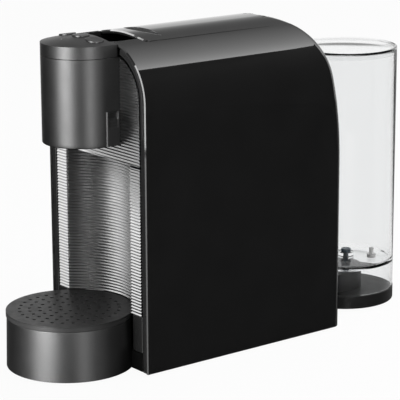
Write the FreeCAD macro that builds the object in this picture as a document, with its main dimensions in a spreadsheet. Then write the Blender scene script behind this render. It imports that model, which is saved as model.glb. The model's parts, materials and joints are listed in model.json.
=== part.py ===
import FreeCAD, Part
import math
import os
import Sketcher

# A capsule coffee machine standing on its feet. Lengths are in millimetres.
# X runs to the right, Y runs from the front to the back and Z runs up. Places along Y are
# measured from the front face of the casing, and every piece is then moved by one common
# step, so that the origin lies under the middle of the whole machine.

doc = FreeCAD.newDocument("capsule_machine")
sheet = doc.addObject("Spreadsheet::Sheet", "Sizes")
nodes = {}


class Size:
    """A length that carries its number and the sheet formula that gives it."""

    def __init__(self, number, text):
        self.number = float(number)
        self.text = text

    def __add__(self, other):
        other = as_size(other)
        return Size(self.number + other.number, f"({self.text} + {other.text})")

    def __radd__(self, other):
        return as_size(other) + self

    def __sub__(self, other):
        other = as_size(other)
        return Size(self.number - other.number, f"({self.text} - {other.text})")

    def __rsub__(self, other):
        return as_size(other) - self

    def __mul__(self, other):
        other = as_size(other)
        return Size(self.number * other.number, f"({self.text} * {other.text})")

    def __rmul__(self, other):
        return self * other

    def __truediv__(self, other):
        other = as_size(other)
        return Size(self.number / other.number, f"({self.text} / {other.text})")

    def __neg__(self):
        return Size(-self.number, f"(0 - {self.text})")


def as_size(value):
    return value if isinstance(value, Size) else Size(value, f"{float(value)}")


def root(value):
    """Square root of a size, such as a circle's half chord."""
    return Size(math.sqrt(value.number), f"sqrt({value.text})")


def in_order(one, other):
    """Two places along an axis, the lower one first."""
    return (one, other) if one.number <= other.number else (other, one)


def chord(radius, height):
    """Half width of a circle at a height above its centre."""
    return root(radius * radius - height * height)


def size(name, number):
    """Write one driving dimension into the sheet and return it."""
    row = len(nodes_in_sheet) + 1
    nodes_in_sheet.append(name)
    sheet.set(f"A{row}", name)
    sheet.set(f"B{row}", f"{number}")
    sheet.setAlias(f"B{row}", name)
    return Size(number, f"Sizes.{name}")


nodes_in_sheet = []

# Casing
body_width = size("body_width", 136)
body_height = size("body_height", 270)
body_depth = size("body_depth", 210.4)
crown_radius = size("crown_radius", 130)
shoulder_radius = size("shoulder_radius", 46)
rear_curve_depth = size("rear_curve_depth", 43.2)
rear_curve_height = size("rear_curve_height", 121.2)
rear_corner_radius = size("rear_corner_radius", 10)
casing_wall = size("casing_wall", 2.5)
rim_width = size("rim_width", 8)
rim_depth = size("rim_depth", 15)
seam_gap = size("seam_gap", 0.4)
running_gap = size("running_gap", 0.3)
fixed_gap = size("fixed_gap", 0.1)
pin_gap = size("pin_gap", 0.05)
cutting_margin = size("cutting_margin", 5)
overcut = size("overcut", 1)
sheet_wall = size("sheet_wall", 2)

# Base, plinth and feet
foot_height = size("foot_height", 1.5)
foot_radius = size("foot_radius", 7)
foot_inset = size("foot_inset", 14)
pan_top = size("pan_top", 16.7)
shelf_depth = body_depth - size("rear_room", 92.4)
tongue_half_width = size("tongue_half_width", 18)
tongue_height = size("tongue_height", 5)
tongue_reach = size("tongue_reach", 62)

# Drip tray and cup plate
tray_centre = size("tray_centre", 28.5)
tray_radius = size("tray_radius", 52.6)
tray_lift = size("tray_lift", 0.75)
tray_top_radius = tray_radius - size("tray_taper", 1)
tray_top = size("tray_top", 42.6)
plate_radius = tray_radius - size("plate_inset", 0.4)
plate_top = tray_top + size("plate_rise", 4.8)
shelf_top = plate_top + size("shelf_step", 0.2)
plate_thickness = size("plate_thickness", 2.4)
plate_hole_radius = size("plate_hole_radius", 1.5)
hole_rings = 5
hole_pitch = size("hole_pitch", 8.2)
recess_gap = size("recess_gap", 0.6)
plinth_gap = size("plinth_gap", 2)

# Capsule drawer
head_bottom = body_height - size("head_height", 85.4)
drawer_top = head_bottom - size("head_clearance", 14.2)
drawer_wall = size("drawer_wall", 3.5)
bin_depth = shelf_depth - size("bin_clearance", 6)
bin_height = size("bin_height", 96)
bin_half_width = body_width / 2 - size("bin_margin", 13)
panel_inset = size("panel_inset", 1)
grille_wall = size("grille_wall", 4)

# Head, control cap and buttons
head_half_width = size("head_half_width", 32.7)
head_centre = size("head_centre", 12.3)
head_seam = body_height - size("cap_height", 14.4)
head_wall = size("head_wall", 2.2)
head_tail = size("head_tail", 12)
spout_forward = size("spout_forward", 18)
spout_radius = size("spout_radius", 7.5)
spout_tip_radius = size("spout_tip_radius", 5.5)
spout_bore = size("spout_bore", 3.3)
spout_drop = size("spout_drop", 5)
button_radius = size("button_radius", 6.2)
button_spacing = size("button_spacing", 19)
button_proud = size("button_proud", 1.2)
button_travel = size("button_travel", 1.2)
collar = size("collar", 0.7)
cap_ceiling = body_height - size("cap_top_wall", 7)
light_radius = size("light_radius", 0.8)
insert_height = size("insert_height", 28.6)
insert_depth = size("insert_depth", 1.2)
slot_drop = size("slot_drop", 7.1)
slot_height = size("slot_height", 2.2)
slot_depth = size("slot_depth", 0.6)
switch_height = size("switch_height", 3.2)
switch_radius = size("switch_radius", 3.1)
far_light = size("far_light", 17)
near_light = size("near_light", 2.7)
far_light_aside = size("far_light_aside", 2)
near_light_aside = size("near_light_aside", 10)
post_radius = size("post_radius", 3)

# Lever, hinge and crank
lever_front = size("lever_front", 26)
lever_half_width = size("lever_half_width", 34)
lever_wall = size("lever_wall", 3.5)
lever_corner = size("lever_corner", 8)
boss_radius = size("boss_radius", 4.5)
boss_back = size("boss_back", 16)
boss_spacing = size("boss_spacing", 24)
yoke_length = size("yoke_length", 56)
yoke_rise = size("yoke_rise", 4.5)
arm_length = size("arm_length", 24)
arm_radius = size("arm_radius", 5.5)
lever_swing = size("lever_swing", 11.4)
hinge_place = body_depth - size("hinge_inset", 40.4)
hinge_height = body_height - size("hinge_depth", 12)
hinge_pin_radius = size("hinge_pin_radius", 2.5)
lug_radius = size("lug_radius", 4.3)
crank_reach = size("crank_reach", 14.05)
crank_drop = size("crank_drop", 20.05)
crank_pin_radius = size("crank_pin_radius", 2)
crank_play = size("crank_play", 0.8)
frame_half_width = size("frame_half_width", 30.5)
frame_wall = size("frame_wall", 2.5)
frame_bottom = hinge_height - size("frame_drop", 82)
leg_width = size("leg_width", 10)
frame_tail = size("frame_tail", 16)
shoulder_drop = size("shoulder_drop", 24)
neck_rise = size("neck_rise", 8)
scoop_half_width = size("scoop_half_width", 27)
scoop_front = size("scoop_front", 3)
scoop_corner = size("scoop_corner", 6)
scoop_wall = size("scoop_wall", 1.6)
scoop_bottom = body_height - size("scoop_depth", 20)

# Brewing unit
holder_front = hinge_place - size("holder_offset", 106)
holder_length = size("holder_length", 30)
holder_radius = size("holder_radius", 19)
holder_wall = size("holder_wall", 3)
holder_floor = size("holder_floor", 3.5)
drain_radius = size("drain_radius", 2)
capsule_axis = hinge_height - size("axis_drop", 36)
injector_front = holder_front + holder_length + size("holder_gap", 2)
injector_length = size("injector_length", 22)
injector_radius = holder_radius - size("injector_inset", 1)
needle_radius = size("needle_radius", 1.5)
bar_set_back = size("bar_set_back", 3.5)
bar_low = frame_bottom + size("bar_lift", 4)
seal_radius = injector_radius - size("seal_inset", 3)
seal_width = size("seal_width", 3)
seal_thickness = size("seal_thickness", 1.5)
rod_sweep = size("rod_sweep", 10)
rod_rim = size("rod_rim", 2)
rod_rise = size("rod_rise", 6)
rod_half_width = size("rod_half_width", 24)
chute_front = holder_front - size("chute_lead", 14)
chute_bottom = body_height - size("chute_depth", 19)
chute_height = size("chute_height", 8)
mouth_half_width = size("mouth_half_width", 21)
duct_bottom = head_bottom + head_wall + spout_radius + fixed_gap
duct_height = size("duct_height", 5)
duct_reach = size("duct_reach", 8)
duct_hole_radius = size("duct_hole_radius", 3.75)

# Water tank and its base
tank_centre = body_depth + size("tank_offset", 61.6)
tank_radius = size("tank_radius", 45.5)
tank_wall = size("tank_wall", 2)
tank_floor = size("tank_floor", 36.6)
tank_floor_wall = size("tank_floor_wall", 2.4)
tank_rim = size("tank_rim", 229.9)
lid_thickness = size("lid_thickness", 2.9)
base_radius = tank_radius + size("base_lip", 0.4)
base_height = size("base_height", 13.3)
neck_half_width = size("neck_half_width", 22)
pedestal_top = size("pedestal_top", 30)
pedestal_end = tank_centre + size("pedestal_reach", 15)
well_depth = size("well_depth", 8)
seal_height = size("seal_height", 3)
valve_place = tank_centre + size("valve_offset", 4)
valve_radius = size("valve_radius", 7)
poppet_radius = size("poppet_radius", 2.4)
poppet_lip = size("poppet_lip", 2)
stem_rise = size("stem_rise", 5)
lid_lip_depth = size("lid_lip_depth", 4)
float_aside = size("float_aside", 21)
float_place = tank_centre + size("float_offset", 16)
float_radius = size("float_radius", 4)
float_height = size("float_height", 3)
float_stem_radius = size("float_stem_radius", 2)
float_stem_height = size("float_stem_height", 9)

# Water system and electrics
pump_radius = size("pump_radius", 18)
pump_length = size("pump_length", 88)
heater_length = size("heater_length", 56)
heater_height = size("heater_height", 30)
hose_radius = size("hose_radius", 3)
board_wall = size("board_wall", 1.6)
screw_radius = size("screw_radius", 3.2)
gland_radius = size("gland_radius", 6.5)
cord_radius = size("cord_radius", 3.2)
pump_aside = frame_half_width + size("pump_gap", 5)
pump_place = body_depth - size("pump_inset", 60.4)
pump_low = size("pump_low", 30.7)
pump_neck = size("pump_neck", 18)
pump_neck_radius = size("pump_neck_radius", 9)
mount_radius = size("mount_radius", 13.5)
mount_height = size("mount_height", 6)
mount_inset = size("mount_inset", 4)
bracket_half_width = size("bracket_half_width", 8)
bracket_wall = size("bracket_wall", 3)
bracket_reach = size("bracket_reach", 4)
suction_rise = size("suction_rise", 4)
heater_gap = size("heater_gap", 6)
meter_radius = size("meter_radius", 10)
meter_back = size("meter_back", 14)
board_aside = body_width / 2 - size("board_margin", 12.5)
board_front = body_depth - size("board_inset", 78.4)
board_length = size("board_length", 54.4)
part_height = size("part_height", 16)
screw_head = size("screw_head", 1.5)
screw_rise = size("screw_rise", 10)
screw_spacing = size("screw_spacing", 16)
gland_aside = body_width / 2 - size("gland_margin", 17)
gland_height = size("gland_height", 26)
gland_wall = size("gland_wall", 1.5)
gland_outside = size("gland_outside", 5)
gland_inside = size("gland_inside", 4)
heater_low = frame_bottom + size("heater_lift", 6)
hose_height = heater_low + heater_height / 2

half_width = body_width / 2
crown_centre = body_height - crown_radius
shoulder_place = half_width - shoulder_radius
arc_step = crown_radius - shoulder_radius
shoulder_rise = chord(arc_step, shoulder_place)
shoulder_height = crown_centre + shoulder_rise
recess_radius = tray_radius + recess_gap
crank_place = hinge_place + crank_reach
crank_height = hinge_height - crank_drop
yoke_top = hinge_height + yoke_rise
yoke_outer = frame_half_width - frame_wall - running_gap
pan_floor = foot_height + sheet_wall + pin_gap

front_reach = tray_centre + tray_radius
rear_reach = tank_centre + base_radius
whole_shift = (front_reach - rear_reach) / 2


# Outlines

def to(x, y):
    """A corner that a straight edge leads to."""
    return {"x": as_size(x), "y": as_size(y), "kind": "line"}


def arc_to(x, y, radius, turn):
    """A corner that an arc leads to; turn is 1 for a left-hand bend, -1 for a right-hand one."""
    return {"x": as_size(x), "y": as_size(y), "kind": "arc", "radius": as_size(radius), "turn": turn}


def ellipse_to(x, y, centre_x, centre_y, turn):
    """A corner that a quarter of an upright ellipse leads to."""
    return {"x": as_size(x), "y": as_size(y), "kind": "ellipse", "turn": turn,
            "centre": (as_size(centre_x), as_size(centre_y))}


def disc(x, y, radius):
    return {"x": as_size(x), "y": as_size(y), "kind": "disc", "radius": as_size(radius)}


def box(low_x, high_x, low_y, high_y):
    return [to(low_x, low_y), to(high_x, low_y), to(high_x, high_y), to(low_x, high_y)]


def bind(sketch, constraint, value):
    """Add a constraint whose value follows the sheet."""
    index = sketch.addConstraint(Sketcher.Constraint(*constraint, value.number))
    sketch.setExpression(f"Constraints[{index}]", value.text)


def pin(sketch, geometry, end, x, y):
    """Fix a point of the sketch at x, y from the sketch origin."""
    bind(sketch, ("DistanceX", -1, 1, geometry, end), x)
    bind(sketch, ("DistanceY", -1, 1, geometry, end), y)


def vector(point):
    return FreeCAD.Vector(point["x"].number, point["y"].number, 0)


def edge_geometry(here, there):
    """The edge from here to there, and its begin and end numbers in the sketch."""
    start, stop = vector(here), vector(there)
    if there["kind"] == "line":
        return Part.LineSegment(start, stop), 1, 2
    ends = (1, 2) if there["turn"] > 0 else (2, 1)
    if there["kind"] == "arc":
        radius = there["radius"].number
        span = stop - start
        rise = math.sqrt(max(radius ** 2 - span.Length ** 2 / 4, 0))
        normal = FreeCAD.Vector(-span.y, span.x, 0).normalize()
        centre = (start + stop) / 2 + normal * (rise * there["turn"])
        curve = Part.Circle(centre, FreeCAD.Vector(0, 0, 1), radius)
    else:
        centre = FreeCAD.Vector(there["centre"][0].number, there["centre"][1].number, 0)
        reach_x = max(abs(start.x - centre.x), abs(stop.x - centre.x))
        reach_y = max(abs(start.y - centre.y), abs(stop.y - centre.y))
        curve = Part.Ellipse(centre + FreeCAD.Vector(0, reach_y, 0),
                             centre - FreeCAD.Vector(reach_x, 0, 0), centre)
    first, last = (start, stop) if there["turn"] > 0 else (stop, start)
    begin, finish = curve.parameter(first), curve.parameter(last)
    if finish < begin:
        finish += 2 * math.pi
    make = Part.ArcOfCircle if there["kind"] == "arc" else Part.ArcOfEllipse
    return make(curve, begin, finish), ends[0], ends[1]


def draw_outline(sketch, points):
    """Draw a closed outline whose corners, radii and centres follow the sheet."""
    edges = []
    for index, here in enumerate(points):
        there = points[(index + 1) % len(points)]
        geometry, begin, end = edge_geometry(here, there)
        edges.append((sketch.addGeometry(geometry, False), begin, end, here, there))
    for index, (number, begin, end, here, there) in enumerate(edges):
        before = edges[index - 1]
        sketch.addConstraint(Sketcher.Constraint("Coincident", before[0], before[2], number, begin))
        pin(sketch, number, begin, here["x"], here["y"])
        if there["kind"] == "arc":
            bind(sketch, ("Radius", number), there["radius"])
    for number, begin, end, here, there in edges:
        if there["kind"] == "ellipse":
            axis = sketch.GeometryCount
            sketch.exposeInternalGeometry(number)
            sketch.addConstraint(Sketcher.Constraint("Vertical", axis))
            pin(sketch, number, 3, *there["centre"])


def draw(sketch, shape):
    if isinstance(shape, list):
        draw_outline(sketch, shape)
        return
    circle = Part.Circle(vector(shape), FreeCAD.Vector(0, 0, 1), shape["radius"].number)
    number = sketch.addGeometry(circle, False)
    pin(sketch, number, 3, shape["x"], shape["y"])
    bind(sketch, ("Radius", number), shape["radius"])


def arch(inset, bottom):
    """The casing's section seen from the front, drawn in by an inset from its outer face."""
    inset = as_size(inset)
    side = half_width - inset
    share = (crown_radius - inset) / arc_step
    joint_x = shoulder_place * share
    joint_z = crown_centre + shoulder_rise * share
    small = shoulder_radius - inset
    large = crown_radius - inset
    return [to(-side, bottom), to(side, bottom), to(side, shoulder_height),
            arc_to(joint_x, joint_z, small, 1), arc_to(-joint_x, joint_z, large, 1),
            arc_to(-side, shoulder_height, small, 1)]


def head_plan(inset, back):
    """The head seen from above: a half round front with straight walls running back."""
    side = head_half_width - inset
    return [to(side, back), to(-side, back), to(-side, -head_centre),
            arc_to(0, -(head_centre + side), side, 1), arc_to(side, -head_centre, side, 1)]


def bay_plan(side, front, back, radius):
    """A box seen from above whose front is hollowed by the round cup bay."""
    half = chord(radius, tray_centre + front)
    return [to(side, front), to(side, back), to(-side, back), to(-side, front), to(-half, front),
            arc_to(half, front, radius, -1)]


# Bodies and features

def new_body(label, group=False):
    body = doc.addObject("PartDesign::Body", label)
    body.AllowCompound = group
    body.setExpression(".Placement.Base.y", whole_shift.text)
    return body


def keep(shape_object, label):
    """Record a finished sub-part under its own name."""
    shape_object.Label = label
    nodes[label] = shape_object
    return shape_object


def new_sketch(body, plane, height, shapes, aside=None):
    sketch = body.newObject("Sketcher::SketchObject", f"{body.Name}_sketch")
    support = next(item for item in body.Origin.OriginFeatures if item.Role == f"{plane}_Plane")
    sketch.AttachmentSupport = (support, "")
    sketch.MapMode = "FlatFace"
    sketch.setExpression(".AttachmentOffset.Base.z", height.text)
    if aside is not None:
        sketch.setExpression(".AttachmentOffset.Base.x", as_size(aside).text)
    for shape in shapes:
        draw(sketch, shape)
    return sketch


def finish_feature(body, feature, adds):
    """Rebuild the body and check that the feature really added or removed material."""
    before = volume_of(body)
    doc.recompute()
    change = body.Shape.Volume - before
    if (change > 0) != adds or abs(change) < 1e-6:
        raise RuntimeError(f"{feature.Name} of {body.Label} changed the volume by {change}")
    volumes[body.Name] = body.Shape.Volume


volumes = {}


def volume_of(body):
    return volumes.get(body.Name, 0.0)


def pad(body, plane, shapes, low, high):
    """Fill shapes from low to high along the plane's normal axis."""
    low, high = as_size(low), as_size(high)
    height = -high if plane == "XZ" else low
    feature = body.newObject("PartDesign::Pad", f"{body.Name}_pad")
    feature.Profile = new_sketch(body, plane, height, shapes)
    feature.setExpression("Length", (high - low).text)
    finish_feature(body, feature, True)


def pocket(body, plane, shapes, low, high):
    """Cut shapes out from low to high along the plane's normal axis."""
    low, high = as_size(low), as_size(high)
    height = -low if plane == "XZ" else high
    feature = body.newObject("PartDesign::Pocket", f"{body.Name}_pocket")
    feature.Profile = new_sketch(body, plane, height, shapes)
    feature.setExpression("Length", (high - low).text)
    finish_feature(body, feature, False)


def turn(body, kind, profile, place, aside=0, angle=360, plane="XZ"):
    """Turn a profile about an upright axis at X aside, Y place."""
    place, aside = as_size(place), as_size(aside)
    feature = body.newObject(f"PartDesign::{kind}", f"{body.Name}_turn")
    if plane == "XZ":
        sketch = new_sketch(body, plane, -place, [profile], aside)
    else:
        sketch = new_sketch(body, plane, aside, [profile], place)
    feature.Profile = sketch
    feature.ReferenceAxis = (sketch, ["V_Axis"])
    feature.Angle = angle
    feature.Midplane = angle < 360
    finish_feature(body, feature, kind == "Revolution")


def rod(label, plane, x, y, radius, low, high):
    """A plain round bar along one axis."""
    body = new_body(label)
    pad(body, plane, [disc(x, y, radius)], low, high)
    return keep(body, label)


def plate(label, plane, shapes, low, high):
    """A flat piece of one thickness."""
    body = new_body(label)
    pad(body, plane, shapes, low, high)
    return keep(body, label)


# Casing, bezels, plinth, base and feet

def rear_corner(inset):
    """What the rear curve leaves out, seen from the side."""
    back = body_depth - inset
    top = body_height - inset
    start = body_depth - rear_curve_depth
    foot = body_height - rear_curve_height
    beyond = body_depth + cutting_margin
    above = body_height + cutting_margin
    return [ellipse_to(start, top, start, foot, 1), to(start, above), to(beyond, above),
            to(beyond, foot), to(back, foot)]


def casing_block(label, inset, bottom, front):
    """The casing's outer or inner form as a solid block."""
    body = new_body(label)
    back = body_depth - inset
    side = half_width - inset
    pad(body, "XZ", [arch(inset, bottom)], front, back)
    pocket(body, "YZ", [rear_corner(inset)], -body_width, body_width)
    corner = rear_corner_radius
    margin = cutting_margin
    for sign in (1, -1):
        edge = sign * (half_width - corner)
        outer = sign * side
        beyond = sign * (half_width + margin)
        cut = [to(edge, back), arc_to(outer, body_depth - corner, corner - inset, -sign),
               to(beyond, body_depth - corner), to(beyond, body_depth + margin),
               to(edge, body_depth + margin)]
        pocket(body, "XY", [cut], bottom - margin, body_height + margin)
    return body


def build_casing():
    outer = casing_block("casing_outer", as_size(0), foot_height, as_size(0))
    opening = lever_half_width + seam_gap
    narrow = scoop_half_width + seam_gap
    step = lever_front - seam_gap
    pocket(outer, "XY", [[to(-narrow, -casing_wall), to(narrow, -casing_wall), to(narrow, step),
                          to(opening, step), to(opening, hinge_place), to(-opening, hinge_place),
                          to(-opening, step), to(-narrow, step)]],
           shoulder_height, body_height + cutting_margin)
    swing = lever_swing + 2 * seam_gap
    pocket(outer, "YZ", [disc(hinge_place, hinge_height, swing)], -opening, opening)
    neck = neck_half_width + running_gap
    pocket(outer, "XZ", [box(-neck, neck, 0, pedestal_top + running_gap)],
           body_depth - 2 * casing_wall, body_depth + casing_wall)
    pocket(outer, "XZ", [disc(-gland_aside, gland_height, gland_radius - gland_wall)],
           body_depth - 2 * casing_wall, body_depth + casing_wall)
    inner = casing_block("casing_inner", casing_wall, as_size(0), -casing_wall)
    shell = doc.addObject("Part::Cut", "casing")
    shell.Base = outer
    shell.Tool = inner
    doc.recompute()
    return keep(shell, "casing")



def build_bezel(side, label):
    body = new_body(label)
    notch = head_half_width + seam_gap + running_gap
    margin = cutting_margin
    pad(body, "XZ", [arch(casing_wall + fixed_gap, foot_height)], panel_inset, rim_depth)
    pocket(body, "XZ", [arch(rim_width, foot_height - margin)], 0, rim_depth + margin)
    low, high = (-body_width, notch) if side > 0 else (-notch, body_width)
    pocket(body, "XY", [box(low, high, -margin, rim_depth + margin)], 0, body_height + margin)
    return keep(body, label)


def build_grille():
    body = new_body("upper_panel")
    bottom = drawer_top + recess_gap
    notch = head_half_width + running_gap
    pad(body, "XZ", [arch(rim_width + running_gap, bottom)], panel_inset, panel_inset + grille_wall)
    pocket(body, "XZ", [box(-notch, notch, head_bottom - running_gap, body_height)],
           0, panel_inset + grille_wall + casing_wall)
    return keep(body, "upper_panel")


def build_plinth():
    body = new_body("plinth")
    side = half_width - rim_width - running_gap
    bay = recess_radius + plinth_gap
    pad(body, "XY", [bay_plan(side, panel_inset, shelf_depth, bay)], pan_top + seam_gap, shelf_top)
    inner = side - sheet_wall
    pocket(body, "XY", [bay_plan(inner, panel_inset + sheet_wall, shelf_depth - sheet_wall,
                                 bay + sheet_wall)],
           pan_top, shelf_top - sheet_wall)
    return keep(body, "plinth")


def pan_plan(inset):
    """The base pan seen from above: round rear corners, notches for the bezels and the cup bay."""
    side = half_width - casing_wall - running_gap - inset
    back = body_depth - casing_wall - running_gap - inset
    corner = rear_corner_radius - casing_wall - inset
    narrow = half_width - rim_width - 2 * running_gap - inset
    front = panel_inset + inset
    notch = rim_depth + running_gap + inset
    radius = recess_radius + inset
    half = chord(radius, tray_centre + front)
    return [to(side, notch), to(side, back - corner), arc_to(side - corner, back, corner, 1),
            to(corner - side, back), arc_to(-side, back - corner, corner, 1), to(-side, notch),
            to(-narrow, notch), to(-narrow, front), to(-half, front), arc_to(half, front, radius, -1),
            to(narrow, front), to(narrow, notch)]


def build_base_pan():
    body = new_body("base_pan")
    pad(body, "XY", [pan_plan(as_size(0))], foot_height, pan_top)
    pocket(body, "XY", [pan_plan(sheet_wall)], foot_height + sheet_wall, pan_top + sheet_wall)
    pad(body, "XY", [box(-tongue_half_width, tongue_half_width, -tongue_reach,
                         recess_radius - tray_centre + overcut)],
        foot_height, foot_height + tongue_height)
    return keep(body, "base_pan")


def foot_places():
    side = half_width - foot_inset
    back = body_depth - foot_inset
    front = foot_inset + rim_width
    return [(side, front), (-side, front), (side, back), (-side, back),
            (as_size(0), -(tongue_reach - foot_radius - sheet_wall)),
            (as_size(0), tank_centre + base_radius - foot_inset)]


def build_feet():
    body = new_body("rubber_feet", group=True)
    pad(body, "XY", [disc(x, y, foot_radius) for x, y in foot_places()], 0, foot_height)
    return keep(body, "rubber_feet")


# Drip tray and cup plate

def build_tray():
    body = new_body("drip_tray")
    lift = tray_lift
    floor = foot_height + tongue_height + running_gap
    turn(body, "Revolution", [to(0, lift), to(tray_radius, lift), to(tray_top_radius, tray_top),
                              to(0, tray_top)], -tray_centre)
    turn(body, "Groove", [to(0, floor + sheet_wall), to(tray_radius - 2 * sheet_wall, floor + sheet_wall),
                          to(tray_top_radius - sheet_wall, tray_top + sheet_wall),
                          to(0, tray_top + sheet_wall)], -tray_centre)
    slot = tongue_half_width + running_gap
    pocket(body, "XY", [box(-slot, slot, -(tongue_reach + running_gap), tray_radius)], 0, floor)
    return keep(body, "drip_tray")


def build_cup_plate():
    body = new_body("cup_plate")
    lip = tray_top_radius - sheet_wall - running_gap
    inner = lip - sheet_wall
    under = plate_top - plate_thickness
    seat = tray_top + pin_gap
    turn(body, "Revolution", [to(0, under), to(inner, under), to(inner, tray_top - sheet_wall),
                              to(lip, tray_top - sheet_wall), to(lip, seat), to(plate_radius, seat),
                              to(plate_radius, plate_top), to(0, plate_top)], -tray_centre)
    holes = []
    for ring in range(1, hole_rings + 1):
        for step in range(6 * ring):
            angle = math.pi * (step + 0.5) / (3 * ring)
            holes.append(disc(hole_pitch * (ring * math.cos(angle)),
                              hole_pitch * (ring * math.sin(angle)) - tray_centre,
                              plate_hole_radius))
    pocket(body, "XY", holes, under - overcut, plate_top + overcut)
    return keep(body, "cup_plate")


# Capsule drawer

def build_drawer():
    side = half_width - rim_width - running_gap
    front = new_body("drawer_front")
    inner = recess_radius + drawer_wall
    outer_half = chord(recess_radius, tray_centre + panel_inset)
    back = panel_inset + drawer_wall
    inner_half = chord(inner, tray_centre + back)
    outline = [to(-side, panel_inset), to(-outer_half, panel_inset),
               arc_to(outer_half, panel_inset, recess_radius, -1), to(side, panel_inset),
               to(side, back), to(inner_half, back), arc_to(-inner_half, back, inner, 1),
               to(-side, back)]
    bottom = shelf_top + recess_gap
    pad(front, "XY", [outline], bottom, drawer_top)
    keep(front, "drawer_front")
    body = new_body("capsule_bin")
    start = back + fixed_gap
    radius = inner + fixed_gap
    pad(body, "XY", [bay_plan(bin_half_width, start, bin_depth, radius)], bottom, bottom + bin_height)
    pocket(body, "XY", [bay_plan(bin_half_width - sheet_wall, start + sheet_wall,
                                 bin_depth - sheet_wall, radius + sheet_wall)],
           bottom + sheet_wall, bottom + bin_height + sheet_wall)
    keep(body, "capsule_bin")


# Head with its cap, buttons, inserts and spout

def build_head():
    body = new_body("head_shell")
    pad(body, "XY", [head_plan(as_size(0), head_tail)], head_bottom, head_seam)
    pocket(body, "XY", [head_plan(head_wall, head_tail + sheet_wall)],
           head_bottom + head_wall, head_seam + head_wall)
    pocket(body, "XY", [disc(0, -spout_forward, spout_radius + fixed_gap)],
           head_bottom - head_wall, head_bottom + 2 * head_wall)
    pad(body, "XY", [disc(side * (button_spacing + head_wall), -head_centre, post_radius)
                     for side in (-1, 1)],
        head_bottom + overcut, head_seam - board_wall - pin_gap)
    for sign in (1, -1):
        outer = sign * (head_half_width + head_wall)
        inner = sign * (head_half_width - insert_depth)
        low, high = in_order(inner, outer)
        pocket(body, "YZ", [box(-head_centre, as_size(0), head_bottom + seam_gap,
                                head_bottom + insert_height)], low, high)
    return keep(body, "head_shell")


def build_insert(sign, label):
    """Side panel of the head with a dark slot above a small ledge."""
    body = new_body(label)
    gap = fixed_gap
    inner = sign * (head_half_width - insert_depth + gap)
    outer = sign * head_half_width
    low, high = in_order(inner, outer)
    bottom = head_bottom + seam_gap + gap
    top = head_bottom + insert_height - gap
    front = gap - head_centre
    pad(body, "YZ", [box(front, -gap, bottom, top)], low, high)
    slot_floor = sign * (head_half_width - slot_depth)
    slot_low, slot_high = in_order(slot_floor, sign * (head_half_width + overcut))
    slot = top - slot_drop
    edge = slot_depth + fixed_gap
    pocket(body, "YZ", [box(front + edge, -edge, slot, slot + slot_height)], slot_low, slot_high)
    ledge = slot - 2 * slot_height
    ledge_low, ledge_high = in_order(inner, sign * (head_half_width + insert_depth))
    pad(body, "YZ", [box(front + edge, -edge, ledge, ledge + slot_height)],
        ledge_low, ledge_high)
    return keep(body, label)


def above_crown(radius, wide, above):
    """Everything over an arched top of the given radius, seen from the front."""
    fall = crown_centre + chord(radius, wide)
    return [arc_to(-wide, fall, radius, 1), to(-wide, above), to(wide, above), to(wide, fall),
            arc_to(0, crown_centre + radius, radius, 1)]


def build_cap():
    body = new_body("control_cap")
    back = -seam_gap
    margin = cutting_margin
    pad(body, "XY", [head_plan(as_size(0), back)], head_seam + seam_gap, body_height)
    wide = head_half_width + margin
    above = body_height + margin
    fall = crown_centre + chord(crown_radius, wide)
    pocket(body, "XZ", [above_crown(crown_radius, wide, above)], -head_centre, margin)
    turn(body, "Groove", [arc_to(0, body_height, crown_radius, -1), to(0, above), to(-wide, above),
                          to(-wide, fall)], -head_centre, angle=180, plane="YZ")
    pocket(body, "XY", [head_plan(head_wall, -(scoop_front + sheet_wall))], head_seam, cap_ceiling)
    pocket(body, "XY", [disc(place * button_spacing, -head_centre, button_radius + running_gap)
                        for place in (-1, 0, 1)], head_seam, above)
    pocket(body, "XY", [disc(x, y, light_radius + pin_gap) for x, y in light_places()],
           head_seam, above)
    narrow = scoop_half_width + seam_gap
    pocket(body, "XY", [box(-narrow, narrow, -scoop_front, margin)], head_seam, above)
    return keep(body, "control_cap")


def light_places():
    return [(-far_light_aside, -(head_centre + far_light)),
            (near_light_aside, -(head_centre + near_light))]


def build_lights():
    """Two small status lights set flush into the crown of the cap."""
    body = new_body("status_lights", group=True)
    for x, y in light_places():
        off = root(x * x + (y + head_centre) * (y + head_centre))
        pad(body, "XY", [disc(x, y, light_radius)], cap_ceiling,
            crown_centre + chord(crown_radius, off))
    return keep(body, "status_lights")


def build_buttons():
    for place, label in ((-1, "short_cup_button"), (0, "power_button"), (1, "long_cup_button")):
        body = new_body(label)
        across = place * button_spacing
        foot = head_seam + switch_height + button_travel + pin_gap
        margin = cutting_margin
        pad(body, "XY", [disc(across, -head_centre, button_radius)], foot, body_height + margin)
        reach = button_radius + sheet_wall
        pocket(body, "XZ", [above_crown(crown_radius + button_proud, head_half_width,
                                        body_height + 2 * margin)],
               -(head_centre + reach), reach - head_centre)
        pad(body, "XY", [disc(across, -head_centre, button_radius + collar)],
            foot, cap_ceiling - running_gap)
        keep(body, label)


def build_button_board():
    inset = head_wall + running_gap
    board = plate("button_board", "XY", [head_plan(inset, -(scoop_front + head_wall))],
                  head_seam - board_wall, head_seam)
    board.AllowCompound = True
    pad(board, "XY", [disc(place * button_spacing, -head_centre, switch_radius)
                      for place in (-1, 0, 1)], head_seam, head_seam + switch_height)


def build_spout():
    body = new_body("spout_nozzle")
    lip = spout_radius + head_wall
    foot = head_bottom - spout_drop
    seat = head_bottom + head_wall
    top = seat + spout_radius
    turn(body, "Revolution", [to(0, foot), to(spout_tip_radius, foot), to(spout_radius, head_bottom),
                              to(spout_radius, seat + pin_gap), to(lip, seat + pin_gap),
                              to(lip, seat + sheet_wall), to(spout_radius, top), to(0, top)],
         -spout_forward)
    pocket(body, "XY", [disc(0, -spout_forward, spout_bore)], foot - overcut, top + overcut)
    return keep(body, "spout_nozzle")


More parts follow.
